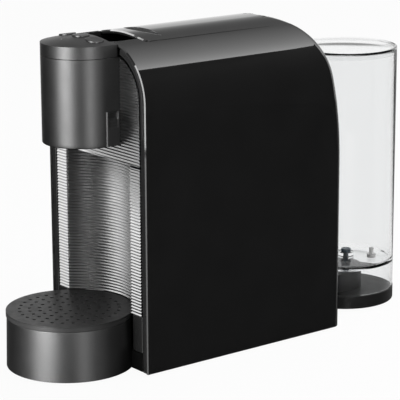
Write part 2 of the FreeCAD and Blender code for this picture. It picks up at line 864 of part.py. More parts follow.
# Lever and the capsule mechanism

def crown_slab(top_inset, bottom_inset, half):
    """A curved strip between two depths below the crown, seen from the front."""
    top, low = crown_radius - top_inset, crown_radius - bottom_inset
    return [to(-half, crown_centre + chord(low, half)), arc_to(0, body_height - bottom_inset, low, -1),
            arc_to(half, crown_centre + chord(low, half), low, -1),
            to(half, crown_centre + chord(top, half)), arc_to(0, body_height - top_inset, top, 1),
            arc_to(-half, crown_centre + chord(top, half), top, 1)]


def build_lever():
    body = new_body("lever")
    swing = lever_swing
    end = hinge_place + swing
    margin = cutting_margin
    pad(body, "XZ", [crown_slab(as_size(0), lever_wall, lever_half_width)], lever_front, end)
    pocket(body, "YZ", [rear_corner(as_size(0))], -body_width, body_width)
    high = swing - overcut
    above = hinge_height + swing + margin
    edge = hinge_place + chord(swing, high)
    pocket(body, "YZ", [[to(end, hinge_height), arc_to(edge, hinge_height + high, swing, 1),
                         to(edge, above), to(end + margin, above), to(end + margin, hinge_height)]],
           -body_width, body_width)
    for sign in (1, -1):
        near = sign * (lever_half_width - lever_corner)
        side = sign * lever_half_width
        far = sign * (lever_half_width + margin)
        bend = lever_front + lever_corner
        ahead = lever_front - margin
        pocket(body, "XY", [[arc_to(near, lever_front, lever_corner, -sign), to(near, ahead),
                             to(far, ahead), to(far, bend), to(side, bend)]],
               shoulder_height, body_height + margin)
    pad(body, "XY", [disc(0, boss, boss_radius) for boss in boss_places()],
        yoke_top, body_height - lever_wall / 2)
    return keep(body, "lever")


def boss_places():
    return (hinge_place - boss_back, hinge_place - boss_back - boss_spacing)


def build_yoke():
    """Metal yoke under the lever: a flat web with two arms that carry the crank rod."""
    body = new_body("lever_yoke")
    web_front = hinge_place - yoke_length
    pad(body, "XY", [box(-yoke_outer, yoke_outer, web_front, hinge_place - arm_radius)],
        yoke_top - sheet_wall, yoke_top - pin_gap)
    low, high = yoke_outer - frame_wall, yoke_outer
    outline = [to(hinge_place - arm_length, yoke_top - pin_gap),
               to(hinge_place - arm_length, hinge_height - arm_radius),
               to(crank_place - arm_radius, crank_height - arm_radius),
               to(crank_place + arm_radius - overcut, crank_height - arm_radius),
               to(hinge_place + arm_radius, hinge_height),
               to(hinge_place + arm_radius, yoke_top - pin_gap)]
    for start, stop in ((low, high), (-high, -low)):
        pad(body, "YZ", [outline], start, stop)
    pocket(body, "YZ", [disc(hinge_place, hinge_height, hinge_pin_radius + pin_gap)],
           -frame_half_width, frame_half_width)
    pocket(body, "YZ", [disc(crank_place, crank_height, crank_pin_radius)],
           -frame_half_width, frame_half_width)
    return keep(body, "lever_yoke")


def build_frames():
    front = head_tail + rim_width
    back = hinge_place + frame_tail
    low, high = frame_half_width - frame_wall, frame_half_width
    shoulder = hinge_height - shoulder_drop
    slope = lug_radius / 2
    seat = chute_bottom - pin_gap
    leg = back - leg_width
    outline = [to(front, frame_bottom), to(leg, frame_bottom), to(leg, pan_floor),
               to(back, pan_floor), to(back, shoulder),
               to(hinge_place + lug_radius, shoulder + neck_rise),
               to(hinge_place + slope, hinge_height - slope),
               to(hinge_place - slope, hinge_height + slope),
               to(hinge_place - neck_rise, shoulder + neck_rise),
               to(injector_front + injector_length, seat), to(chute_front + leg_width / 2, seat),
               to(front, shoulder)]
    hinge = disc(hinge_place, hinge_height, hinge_pin_radius)
    for sign, label in ((1, "frame_plate_right"), (-1, "frame_plate_left")):
        start, stop = (low, high) if sign > 0 else (-high, -low)
        body = new_body(label)
        pad(body, "YZ", [outline], start, stop)
        pad(body, "YZ", [disc(hinge_place, hinge_height, lug_radius)], start, stop)
        pocket(body, "YZ", [hinge], start - overcut, stop + overcut)
        if sign < 0:
            pocket(body, "YZ", [disc(pump_place, hose_height, hose_radius + running_gap)],
                   start - overcut, stop + overcut)
        keep(body, label)


def build_brew_unit():
    # capsule carriage: a cup that closes on the injector, drawn by two side rods
    inner_rod = rod_half_width - frame_wall
    half = inner_rod - fixed_gap
    low = capsule_axis - holder_radius - holder_wall
    high = capsule_axis + holder_radius + holder_wall
    body = new_body("capsule_carriage")
    pad(body, "XZ", [box(-half, half, low, high)], holder_front, holder_front + holder_length)
    pocket(body, "XZ", [disc(0, capsule_axis, holder_radius)],
           holder_front + holder_floor, holder_front + holder_length + overcut)
    pocket(body, "XZ", [disc(0, low + 2 * holder_wall, drain_radius)],
           holder_front - overcut, holder_front + holder_floor + overcut)
    keep(body, "capsule_carriage")
    rods = new_body("carriage_rods", group=True)
    tail = crank_place + crank_pin_radius + crank_play + frame_wall
    play = crank_pin_radius + crank_play
    rod_low = crank_height - rod_sweep
    rod_high = crank_height + play + overcut
    rise = crank_place - rod_rise
    outline = [to(holder_front, rod_low), to(tail, rod_low), to(tail, rod_high),
               to(rise, rod_high), to(rise - 2 * rod_rim, crank_height),
               to(holder_front, crank_height)]
    slot = box(crank_place - play, crank_place + play, rod_low + rod_rim, crank_height + play)
    for start, stop in ((inner_rod, rod_half_width), (-rod_half_width, -inner_rod)):
        pad(rods, "YZ", [outline], start, stop)
    pocket(rods, "YZ", [slot], -frame_half_width, frame_half_width)
    keep(rods, "carriage_rods")
    # injector block with its seal and the mounting bars under the rods
    block = new_body("injector_block")
    wide = yoke_outer + running_gap
    pad(block, "XZ", [disc(0, capsule_axis, injector_radius)], injector_front,
        injector_front + injector_length)
    pad(block, "XZ", [box(-wide, wide, bar_low, rod_low - running_gap)],
        injector_front + bar_set_back, injector_front + injector_length)
    pocket(block, "XZ", [disc(0, capsule_axis, needle_radius)], injector_front - overcut,
           injector_front + injector_length / 2)
    keep(block, "injector_block")
    seal = new_body("injector_seal")
    pad(seal, "XZ", [disc(0, capsule_axis, seal_radius),
                      disc(0, capsule_axis, seal_radius - seal_width)],
        injector_front - seal_thickness, injector_front)
    keep(seal, "injector_seal")


def build_scoop():
    """Black finger bowl between the control cap and the lever."""
    body = new_body("finger_recess")
    half = scoop_half_width
    front = seam_gap - scoop_front
    back = chute_front - running_gap
    under_lever = crown_centre + chord(crown_radius - lever_wall, half) - running_gap
    rim = crown_centre + chord(crown_radius, half) - running_gap
    wall = scoop_wall
    pad(body, "XY", [box(-half, half, front, back)], scoop_bottom, under_lever)
    pad(body, "XY", [box(-half, half, front, lever_front - 2 * seam_gap)],
        under_lever - overcut, rim)
    inner = half - wall
    bend = scoop_corner
    begin = front + wall
    pocket(body, "XY", [[arc_to(bend - inner, begin, bend, 1), to(inner - bend, begin),
                         arc_to(inner, begin + bend, bend, 1), to(inner, back - wall),
                         to(-inner, back - wall), to(-inner, begin + bend)]],
           scoop_bottom + wall, body_height)
    return keep(body, "finger_recess")


def build_chute():
    """Funnel that guides a capsule down between the carriage and the injector."""
    body = new_body("capsule_chute")
    half = frame_half_width
    back = injector_front + injector_length
    high = chute_bottom + chute_height
    pad(body, "XY", [box(-half, half, chute_front, back)], chute_bottom, high)
    pocket(body, "XY", [box(-mouth_half_width, mouth_half_width, holder_front, injector_front)],
           chute_bottom - overcut, high + overcut)
    return keep(body, "capsule_chute")


def build_duct():
    """Open channel that leads the coffee from under the carriage to the spout."""
    body = new_body("coffee_duct")
    half = spout_radius
    low = duct_bottom
    front = -(spout_forward + spout_radius)
    back = holder_front + duct_reach
    pad(body, "XY", [box(-half, half, front, back)], low, low + duct_height)
    wall = board_wall
    pocket(body, "XY", [box(wall - half, half - wall, front + wall, back - wall)],
           low + wall, low + duct_height + overcut)
    pocket(body, "XY", [disc(0, -spout_forward, duct_hole_radius)],
           low - overcut, low + wall + overcut)
    return keep(body, "coffee_duct")


# Water tank, valve and base

def build_tank():
    play = overcut
    base = new_body("tank_base")
    pad(base, "XY", [disc(0, tank_centre, base_radius)], foot_height, base_height)
    neck_front = body_depth - casing_wall - running_gap + pin_gap
    pad(base, "XY", [box(-neck_half_width, neck_half_width, neck_front, tank_centre)],
        foot_height, base_height)
    keep(base, "tank_base")
    pedestal = new_body("tank_pedestal")
    bend = pedestal_end - neck_half_width
    pad(pedestal, "XY", [[to(-neck_half_width, neck_front), to(neck_half_width, neck_front),
                          to(neck_half_width, bend),
                          arc_to(0, pedestal_end, neck_half_width, 1),
                          arc_to(-neck_half_width, bend, neck_half_width, 1)]],
        base_height + pin_gap, pedestal_top)
    well_radius = valve_radius + play
    well_floor = pedestal_top - well_depth
    pocket(pedestal, "XY", [disc(0, valve_place, well_radius)], well_floor, pedestal_top + overcut)
    keep(pedestal, "tank_pedestal")
    seal = new_body("valve_seal")
    pad(seal, "XY", [disc(0, valve_place, well_radius - pin_gap),
                      disc(0, valve_place, valve_radius - seal_width / 2)],
        well_floor + pin_gap, well_floor + seal_height)
    keep(seal, "valve_seal")
    tank = new_body("water_tank")
    skirt = base_height + 2 * pin_gap
    turn(tank, "Revolution", [to(0, skirt), to(tank_radius, skirt), to(tank_radius, tank_rim),
                              to(0, tank_rim)], tank_centre)
    inner = tank_radius - tank_wall
    pocket(tank, "XY", [disc(0, tank_centre, inner)], tank_floor + tank_floor_wall,
           tank_rim + overcut)
    pocket(tank, "XY", [disc(0, tank_centre, inner)], 0, tank_floor)
    notch = neck_half_width + play
    pocket(tank, "XY", [box(-notch, notch, tank_centre - base_radius, tank_centre)],
           0, pedestal_top + 2 * play)
    stem_low = well_floor + seal_height + play
    stem_top = tank_floor + stem_rise
    pad(tank, "XY", [disc(0, valve_place, valve_radius)], stem_low, stem_top)
    pocket(tank, "XY", [disc(0, valve_place, poppet_radius + pin_gap)],
           stem_low - overcut, stem_top + overcut)
    keep(tank, "water_tank")
    lid = new_body("tank_lid")
    pad(lid, "XY", [disc(0, tank_centre, tank_radius)], tank_rim + pin_gap, tank_rim + lid_thickness)
    lip = inner - running_gap
    pad(lid, "XY", [disc(0, tank_centre, lip)], tank_rim - lid_lip_depth, tank_rim + overcut)
    pocket(lid, "XY", [disc(0, tank_centre, lip - sheet_wall)],
           tank_rim - lid_lip_depth - overcut, tank_rim + overcut)
    keep(lid, "tank_lid")
    poppet = new_body("valve_poppet")
    low = stem_low - play / 2
    top = stem_top + pin_gap
    pad(poppet, "XY", [disc(0, valve_place, poppet_radius)], low, top + poppet_lip)
    pad(poppet, "XY", [disc(0, valve_place, poppet_radius + poppet_lip)], top, top + seal_height)
    keep(poppet, "valve_poppet")
    swimmer = new_body("tank_float")
    low = tank_floor + tank_floor_wall + pin_gap
    pad(swimmer, "XY", [disc(float_aside, float_place, float_radius)], low, low + float_height)
    pad(swimmer, "XY", [disc(float_aside, float_place, float_stem_radius)],
        low, low + float_stem_height)
    keep(swimmer, "tank_float")


# Water system and electrics inside the casing

def build_inside():
    # upright pump at the left rear, held by two rubber rings on brackets
    pump_x = -pump_aside
    pump_y = pump_place
    suction_height = pan_top + suction_rise
    pump = new_body("pump")
    pad(pump, "XY", [disc(pump_x, pump_y, pump_radius)], pump_low + pump_neck,
        pump_low + pump_length - pump_neck)
    pad(pump, "XY", [disc(pump_x, pump_y, pump_neck_radius)], pump_low, pump_low + pump_length)
    keep(pump, "pump")
    rings = new_body("pump_mounts", group=True)
    ring = [disc(pump_x, pump_y, mount_radius), disc(pump_x, pump_y, pump_neck_radius + pin_gap)]
    levels = (pump_low + mount_inset, pump_low + pump_length - mount_inset - mount_height)
    for level in levels:
        pad(rings, "XY", ring, level, level + mount_height)
    keep(rings, "pump_mounts")
    post = new_body("pump_bracket")
    bracket_y = pump_y + pump_radius + bracket_reach
    left, right = pump_x - bracket_half_width, pump_x + bracket_half_width
    pad(post, "XZ", [box(left, right, pan_floor, pump_low + pump_length)],
        bracket_y, bracket_y + bracket_wall)
    for level in levels:
        pad(post, "XY", [box(left, right, pump_y + mount_radius - overcut, bracket_y + overcut)],
            level, level + mount_height)
        pocket(post, "XY", [disc(pump_x, pump_y, mount_radius + pin_gap)],
               level - overcut, level + mount_height + overcut)
    pocket(post, "XZ", [disc(pump_x, suction_height, hose_radius + running_gap)],
           bracket_y - overcut, bracket_y + bracket_wall + overcut)
    keep(post, "pump_bracket")
    # heater block between the frame plates, under the rods
    heater = new_body("heater_block")
    heater_front = injector_front + injector_length + heater_gap
    wide = frame_half_width - frame_wall - pin_gap
    pad(heater, "XY", [box(-wide, wide, heater_front, heater_front + heater_length)],
        heater_low, heater_low + heater_height)
    keep(heater, "heater_block")
    link = new_body("brew_pipe")
    pad(link, "XZ", [disc(0, heater_low + heater_height / 2, hose_radius)],
        injector_front + injector_length + pin_gap, heater_front - pin_gap)
    keep(link, "brew_pipe")
    # pressure hose: up from the pump, then across to the heater
    hose = new_body("pressure_hose")
    pad(hose, "XY", [disc(pump_x, pump_y, hose_radius)], pump_low + pump_length + pin_gap,
        hose_height)
    pad(hose, "YZ", [disc(pump_y, hose_height, hose_radius)], pump_x, -(wide + pin_gap))
    knee(hose, pump_x, pump_y, hose_height)
    keep(hose, "pressure_hose")
    # flow meter behind the tank pedestal, and the suction hose under the pump
    meter = new_body("flow_meter")
    meter_y = body_depth - 2 * casing_wall - meter_back
    pad(meter, "XY", [disc(0, meter_y, meter_radius)], pan_floor, pedestal_top)
    keep(meter, "flow_meter")
    rod("inlet_pipe", "XZ", 0, pedestal_top - 2 * hose_radius, hose_radius,
        meter_y + meter_radius + pin_gap,
        body_depth - casing_wall - running_gap)
    suction = new_body("suction_hose")
    level = suction_height
    pad(suction, "XZ", [disc(pump_x, level, hose_radius)], pump_y, meter_y)
    pad(suction, "YZ", [disc(meter_y, level, hose_radius)], pump_x, -(meter_radius + pin_gap))
    pad(suction, "XY", [disc(pump_x, pump_y, hose_radius)], level, pump_low - pin_gap)
    knee(suction, pump_x, meter_y, level)
    knee(suction, pump_x, pump_y, level)
    keep(suction, "suction_hose")
    # control board on the right, standing in the pan on two feet
    board = plate("control_board", "YZ", [box(board_front, board_front + board_length, pan_floor,
                                              drawer_top)],
                  board_aside, board_aside + board_wall)
    board.AllowCompound = True
    near, middle = board_front + board_length / 8, board_front + board_length / 2
    pad(board, "YZ", [box(near, middle, drawer_top * share, drawer_top * (share + 0.15))
                      for share in (0.35, 0.6)], board_aside - part_height, board_aside)
    # gland for the mains cord in the rear wall
    gland = new_body("cord_gland")
    inner, outer = body_depth - casing_wall - gland_inside, body_depth + gland_outside
    pad(gland, "XZ", [disc(-gland_aside, gland_height, gland_radius)], body_depth + pin_gap, outer)
    pad(gland, "XZ", [disc(-gland_aside, gland_height, gland_radius - gland_wall - pin_gap)],
        inner, body_depth + overcut)
    pocket(gland, "XZ", [disc(-gland_aside, gland_height, cord_radius)],
           inner - overcut, outer + overcut)
    keep(gland, "cord_gland")


def knee(body, x, y, z):
    """Round ball that closes the corner of a hose."""
    ball = body.newObject("PartDesign::AdditiveSphere", f"{body.Name}_knee")
    ball.setExpression("Radius", hose_radius.text)
    support = next(item for item in body.Origin.OriginFeatures if item.Role == "XY_Plane")
    ball.AttachmentSupport = (support, "")
    ball.MapMode = "FlatFace"
    for axis, place in (("x", x), ("y", y), ("z", z)):
        ball.setExpression(f".AttachmentOffset.Base.{axis}", as_size(place).text)
    doc.recompute()
    volumes[body.Name] = body.Shape.Volume


def build_screws():
    screws = new_body("frame_screws", group=True)
    middle = injector_front + injector_length / 2
    low = frame_bottom + screw_rise
    start = frame_half_width + pin_gap
    stop = start + screw_head
    heads = [disc(middle, low, screw_radius), disc(middle, low + screw_spacing, screw_radius)]
    pad(screws, "YZ", heads, start, stop)
    pad(screws, "YZ", heads, -stop, -start)
    keep(screws, "frame_screws")


build_base_pan()
build_feet()
build_plinth()
build_casing()
build_bezel(1, "front_bezel_right")
build_bezel(-1, "front_bezel_left")
build_grille()
build_tray()
build_cup_plate()
build_drawer()
build_head()
build_insert(1, "head_insert_right")
build_insert(-1, "head_insert_left")
build_cap()
build_lights()
build_buttons()
build_button_board()
build_spout()
build_duct()
build_scoop()
build_lever()
build_yoke()
build_frames()
rod("hinge_pin", "YZ", hinge_place, hinge_height, hinge_pin_radius,
    -frame_half_width - overcut, frame_half_width + overcut)
rod("crank_rod", "YZ", crank_place, crank_height, crank_pin_radius, -yoke_outer, yoke_outer)
build_brew_unit()
build_chute()
build_tank()
build_inside()
build_screws()

doc.recompute()
for item in doc.Objects:
    if "Invalid" in item.State or "Error" in item.State:
        raise RuntimeError(f"{item.Label} is in state {item.State}")
os.makedirs("parts", exist_ok=True)
for label, item in nodes.items():
    if item.Shape.isNull() or not item.Shape.isValid():
        raise RuntimeError(f"{label} has no valid shape")
    item.Shape.exportStep(f"parts/{label}.step")
print(len(nodes), "sub-parts written")
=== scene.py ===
import bpy
import bmesh
import json
import numpy as np
from math import asin, atan2, cos, pi, radians, sin, sqrt
from mathutils import Matrix, Vector

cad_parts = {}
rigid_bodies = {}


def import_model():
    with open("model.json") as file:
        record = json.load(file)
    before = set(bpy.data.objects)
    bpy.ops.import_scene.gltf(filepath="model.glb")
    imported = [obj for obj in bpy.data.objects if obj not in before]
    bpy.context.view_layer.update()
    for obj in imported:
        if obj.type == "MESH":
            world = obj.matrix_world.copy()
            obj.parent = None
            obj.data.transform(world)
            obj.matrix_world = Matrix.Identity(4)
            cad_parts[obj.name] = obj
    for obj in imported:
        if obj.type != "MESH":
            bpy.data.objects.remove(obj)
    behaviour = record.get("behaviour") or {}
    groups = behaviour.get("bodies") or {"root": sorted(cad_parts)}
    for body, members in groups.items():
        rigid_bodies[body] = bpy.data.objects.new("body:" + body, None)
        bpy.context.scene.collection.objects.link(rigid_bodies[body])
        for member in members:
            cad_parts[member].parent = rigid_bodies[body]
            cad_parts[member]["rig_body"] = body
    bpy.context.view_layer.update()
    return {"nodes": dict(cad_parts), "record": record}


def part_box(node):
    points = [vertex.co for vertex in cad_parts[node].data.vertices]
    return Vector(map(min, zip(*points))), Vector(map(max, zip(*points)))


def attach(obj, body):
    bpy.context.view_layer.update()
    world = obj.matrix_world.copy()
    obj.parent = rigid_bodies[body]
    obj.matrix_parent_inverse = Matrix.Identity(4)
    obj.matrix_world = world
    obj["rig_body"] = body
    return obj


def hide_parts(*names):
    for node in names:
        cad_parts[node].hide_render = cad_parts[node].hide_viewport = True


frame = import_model()

# Sizes below are in millimetres: x to the right, y back from the casing's front, z up from the table.
mm = 0.001
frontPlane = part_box("casing")[0].y


def corners(node):
    # lowest and highest corner of a node of the frame, in millimetres
    shift = Vector((0, frontPlane, 0))
    return [np.array(corner - shift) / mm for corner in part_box(node)]


def centreOf(node):
    return sum(corners(node)) / 2


def toFrame(points):
    # millimetres to metres, and y from the casing's front to the frame's middle
    return np.asarray(points, float) * mm + np.array([0, frontPlane, 0])


# Surfaces: each returns points and faces

def gridFaces(rows, columns, first=0, closed=False, turned=False):
    # quads between neighbouring rows and columns of a point grid
    index = np.arange(rows * columns).reshape(rows, columns) + first
    if closed:
        index = np.hstack([index, index[:, :1]])
    sides = [index[:-1, :-1], index[:-1, 1:], index[1:, 1:], index[1:, :-1]]
    if turned:
        sides.reverse()
    return np.stack(sides, -1).reshape(-1, 4).tolist()


def loft(rings, startCap=True, endCap=True):
    # rings of equal length joined one after another, with flat ends
    rings = np.asarray(rings, float)
    count, size = rings.shape[:2]
    faces = gridFaces(count, size, closed=True)
    if startCap:
        faces.append(list(range(size)))
    if endCap:
        faces.append(list(range((count - 1) * size, count * size))[::-1])
    return rings.reshape(-1, 3), faces


def revolve(profile, centre, steps):
    # (radius, height) points turned round an upright axis
    profile = np.asarray(profile, float)
    turn = np.linspace(0, 2 * pi, steps, endpoint=False)
    radius, height = profile[:, :1], profile[:, 1:]
    x = centre[0] + radius * np.cos(turn)
    y = centre[1] + radius * np.sin(turn)
    z = height + 0 * turn
    points = np.stack([x, y, z], -1)
    return points.reshape(-1, 3), gridFaces(len(profile), steps, closed=True)


def conic(start, corner, stop, weight, t):
    # a curve that leaves start towards the corner and comes into stop from it: their mean with the shares
    # (1 - t)^2, 2 weight t (1 - t) and t^2
    pull = 2 * weight * t * (1 - t)
    return ((1 - t) ** 2 * start + pull * corner + t ** 2 * stop) / ((1 - t) ** 2 + pull + t ** 2)


def rounded(profile, radius, steps):
    # each corner of a flat outline replaced by a curve from one side to the next
    profile = np.asarray(profile, float)
    radius = np.broadcast_to(radius, len(profile))
    before, after = np.roll(profile, 1, 0), np.roll(profile, -1, 0)
    out = []
    for corner, last, following, size in zip(profile, before, after, radius):
        if size <= 0:
            out.append(corner[None])
            continue
        back, ahead = last - corner, following - corner
        reach = min(size, 0.49 * np.hypot(*back), 0.49 * np.hypot(*ahead))
        start = corner + back / np.hypot(*back) * reach
        stop = corner + ahead / np.hypot(*ahead) * reach
        out.append(conic(start, corner, stop, 0.7, np.linspace(0, 1, steps + 1)[:, None]))
    return np.vstack(out)


def level(outline, place, axis=2):
    # a flat outline in space, at one place along the axis that it lacks
    return np.insert(np.asarray(outline, float), axis, place, axis=1)


def prism(outline, low, high, axis=2):
    # a flat outline carried along the axis that it lacks
    return loft([level(outline, low, axis), level(outline, high, axis)])


def slab(front, back):
    # two point grids of one size, joined along their borders to a closed shape
    rows, columns = front.shape[:2]
    count = rows * columns
    index = np.arange(count).reshape(rows, columns)
    border = np.concatenate([index[0], index[1:, -1], index[-1, -2::-1], index[-2:0:-1, 0]])
    following = np.roll(border, -1)
    faces = gridFaces(rows, columns) + gridFaces(rows, columns, count, turned=True)
    faces += np.stack([border, border + count, following + count, following], -1).tolist()
    return np.vstack([front.reshape(-1, 3), back.reshape(-1, 3)]), faces


def circle(centre, radius, steps):
    # even points on a circle
    turn = np.linspace(0, 2 * pi, steps, endpoint=False)
    return np.column_stack([centre[0] + radius * np.cos(turn), centre[1] + radius * np.sin(turn)])


def combine(*shapes):
    # several shapes as one
    points, faces, first = [], [], 0
    for shapePoints, shapeFaces in shapes:
        points.append(shapePoints)
        faces += [[corner + first for corner in face] for face in shapeFaces]
        first += len(shapePoints)
    return np.vstack(points), faces


# Pieces

def makeMesh(name, shape):
    # a clean mesh of a shape's points and faces
    points, faces = shape
    mesh = bpy.data.meshes.new(name)
    mesh.from_pydata(toFrame(points).tolist(), [], faces)
    tidyMesh(mesh)
    return mesh


def tidyMesh(mesh, joinFlat=False, turnOut=True):
    # doubled points merged, then either flat neighbours joined or empty faces dropped
    work = bmesh.new()
    work.from_mesh(mesh)
    bmesh.ops.remove_doubles(work, verts=work.verts, dist=2e-6)
    if joinFlat:
        bmesh.ops.dissolve_limit(work, angle_limit=radians(0.5), verts=work.verts, edges=work.edges)
    else:
        bmesh.ops.dissolve_degenerate(work, edges=work.edges, dist=1e-6)
    if turnOut:
        bmesh.ops.recalc_face_normals(work, faces=work.faces)
    work.to_mesh(mesh)
    work.free()


def addObject(name, data):
    thing = bpy.data.objects.new(name, data)
    bpy.context.scene.collection.objects.link(thing)
    return thing


def addPiece(name, mesh, nodes, sharpAngle, bevel=0.0, segments=2, bevelAngle=40):
    # a visible piece in place of the frame's nodes, with their finish, rounded edges and body
    piece = addObject(name, mesh)
    mesh.shade_smooth()
    mesh.set_sharp_from_angle(angle=radians(sharpAngle))
    mesh.materials.append(finishes[slotOf[nodes[0]]])
    if bevel:
        edge = piece.modifiers.new("edges", "BEVEL")
        edge.width = bevel * mm
        edge.segments = segments
        edge.limit_method = "ANGLE"
        edge.angle_limit = radians(bevelAngle)
        edge.harden_normals = True
    place = frame["nodes"][nodes[0]]["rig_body"]
    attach(piece, place)
    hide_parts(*nodes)
    return piece


def worked(mesh, *steps):
    # a closed mesh with shapes joined to it or cut from it, one after another
    carrier = addObject("working", mesh)
    helpers = []
    for operation, shape in steps:
        tool = addObject("tool", makeMesh("tool", shape))
        helpers.append(tool)
        change = carrier.modifiers.new("change", "BOOLEAN")
        change.operation = operation
        change.solver = "EXACT"
        change.object = tool
    bpy.context.view_layer.update()
    result = bpy.data.meshes.new_from_object(carrier.evaluated_get(bpy.context.evaluated_depsgraph_get()))
    result.name = mesh.name
    for helper in [carrier] + helpers:
        bpy.data.objects.remove(helper)
    tidyMesh(result, turnOut=False)
    return result


def cutAway(mesh, *cutters):
    return worked(mesh, *[("DIFFERENCE", shape) for shape in cutters])


def softened(node):
    # a copy of a frame node's mesh, ready for rounded edges
    mesh = frame["nodes"][node].data.copy()
    mesh.name = node + "_soft"
    mesh.materials.clear()
    for name in [layer.name for layer in mesh.attributes if layer.name in ("custom_normal", "UVMap")]:
        mesh.attributes.remove(mesh.attributes[name])
    tidyMesh(mesh, joinFlat=True, turnOut=False)
    return mesh


slotOf = {entry["node"]: entry["material_slot"] for entry in frame["record"]["subparts"]}


# Finishes

def addNode(tree, kind):
    return tree.nodes.new("ShaderNode" + kind)


def socketOf(made, name):
    # an input of a material's shader
    return made.node_tree.nodes["Principled BSDF"].inputs[name]


def newMaterial(name, colour, roughness, metallic=0.0, specular=0.5):
    # a material with plain values to begin with
    made = bpy.data.materials.new(name)
    made.use_nodes = True
    socketOf(made, "Base Color").default_value = (*colour, 1)
    socketOf(made, "Roughness").default_value = roughness
    socketOf(made, "Metallic").default_value = metallic
    socketOf(made, "Specular IOR Level").default_value = specular
    return made


def grain(made, scale, detail=3.0, stretch=(1, 1, 1)):
    # noise in the piece's own coordinates, one unit a metre
    tree = made.node_tree
    coordinates = addNode(tree, "TexCoord")
    mapping = addNode(tree, "Mapping")
    mapping.inputs["Scale"].default_value = stretch
    noise = addNode(tree, "TexNoise")
    noise.inputs["Scale"].default_value = scale
    noise.inputs["Detail"].default_value = detail
    tree.links.new(coordinates.outputs["Object"], mapping.inputs["Vector"])
    tree.links.new(mapping.outputs["Vector"], noise.inputs["Vector"])
    return noise.outputs["Fac"]


def roughen(made, source, low, high):
    # carries a 0.3 to 0.7 pattern to a range of roughness
    tree = made.node_tree
    levels = addNode(tree, "MapRange")
    levels.inputs["From Min"].default_value = 0.3
    levels.inputs["From Max"].default_value = 0.7
    levels.inputs["To Min"].default_value = low
    levels.inputs["To Max"].default_value = high
    tree.links.new(source, levels.inputs["Value"])
    tree.links.new(levels.outputs["Result"], socketOf(made, "Roughness"))


def tint(made, source, dark, light):
    # carries the same pattern to a range of colours
    tree = made.node_tree
    ramp = addNode(tree, "ValToRGB")
    ramp.color_ramp.elements[0].position = 0.3
    ramp.color_ramp.elements[1].position = 0.7
    ramp.color_ramp.elements[0].color = (*dark, 1)
    ramp.color_ramp.elements[1].color = (*light, 1)
    tree.links.new(source, ramp.inputs["Fac"])
    tree.links.new(ramp.outputs["Color"], socketOf(made, "Base Color"))


def relief(made, source, depth, strength):
    # bumps from a pattern, their depth in millimetres
    tree = made.node_tree
    bump = addNode(tree, "Bump")
    bump.inputs["Distance"].default_value = depth * mm
    bump.inputs["Strength"].default_value = strength
    tree.links.new(source, bump.inputs["Height"])
    tree.links.new(bump.outputs["Normal"], socketOf(made, "Normal"))


def grey(tone, warmth=0.0):
    return (tone * (1 + warmth), tone, tone * (1 - warmth))


def clouded(name, colour, roughness, pattern, colours, roughnesses, metallic=0.0):
    # one noise carries both the colour and the roughness
    made = newMaterial(name, colour, roughness, metallic)
    cloud = grain(made, *pattern)
    tint(made, cloud, *colours)
    roughen(made, cloud, *roughnesses)
    return made


def glossBlack():
    # polished black moulding, barely wavy
    made = clouded("gloss black", grey(0.012), 0.05, [30], (grey(0.011), grey(0.013)), (0.03, 0.06))
    relief(made, grain(made, 60, 1), 0.015, 0.15)
    return made


def flaked(name, colour, roughness, flakeScale, colours, cloudScale, roughnesses, depth):
    # metallic lacquer with a fine flake
    made = newMaterial(name, colour, roughness, metallic=1.0)
    flake = grain(made, flakeScale, 2)
    tint(made, flake, *colours)
    roughen(made, grain(made, cloudScale), *roughnesses)
    relief(made, flake, depth, 0.2)
    return made


def satinAnthracite():
    return flaked("satin anthracite", grey(0.08), 0.42, 2600, (grey(0.071), grey(0.09)),
                  90, (0.4, 0.44), 0.004)


def ribbedSilver():
    return flaked("ribbed silver", grey(0.36), 0.32, 2200, (grey(0.32), grey(0.4)), 120, (0.29, 0.36), 0.005)


def mattBlack(name="matt black", tone=0.012, roughness=0.5):
    # spark-eroded moulding
    made = newMaterial(name, grey(tone), roughness, specular=0.35)
    texture = grain(made, 1500, 2)
    tint(made, texture, grey(tone * 0.75), grey(tone * 1.3))
    roughen(made, grain(made, 200), roughness - 0.06, roughness + 0.06)
    relief(made, texture, 0.03, 0.5)
    return made


def clearPlastic():
    # its low refraction stands for thin walls
    made = newMaterial("clear plastic", (0.915, 0.92, 0.922), 0.02)
    socketOf(made, "Transmission Weight").default_value = 1.0
    socketOf(made, "IOR").default_value = 1.22
    roughen(made, grain(made, 45), 0.01, 0.035)
    return made


def rubber():
    made = newMaterial("rubber", grey(0.018), 0.7, specular=0.06)
    texture = grain(made, 900, 3)
    tint(made, texture, grey(0.013), grey(0.024))
    relief(made, texture, 0.04, 0.4)
    return made


def steel():
    # drawn lines, the noise squeezed along z
    return clouded("steel", grey(0.55), 0.28, (400, 3, (1, 1, 14)), (grey(0.47), grey(0.62)), (0.22, 0.36),
                   metallic=1.0)


def castAluminium():
    made = newMaterial("cast aluminium", grey(0.6), 0.5, metallic=1.0)
    sand = grain(made, 700, 4)
    tint(made, sand, grey(0.5), grey(0.66))
    relief(made, sand, 0.08, 0.6)
    return made


def whitePlastic():
    return clouded("white plastic", grey(0.75, 0.01), 0.35, [60], (grey(0.7, 0.01), grey(0.78, 0.01)),
                   (0.3, 0.42))


def silicone():
    made = clouded("silicone", grey(0.55, 0.03), 0.4, [150], (grey(0.5, 0.03), grey(0.6, 0.03)),
                   (0.35, 0.5))
    socketOf(made, "Subsurface Weight").default_value = 0.1
    return made


def boardGreen():
    # tracks, the noise stretched along z
    return clouded("board green", (0.03, 0.16, 0.06), 0.35, (500, 1, (1, 1, 0.2)),
                   ((0.02, 0.12, 0.045), (0.045, 0.2, 0.08)), (0.25, 0.45))


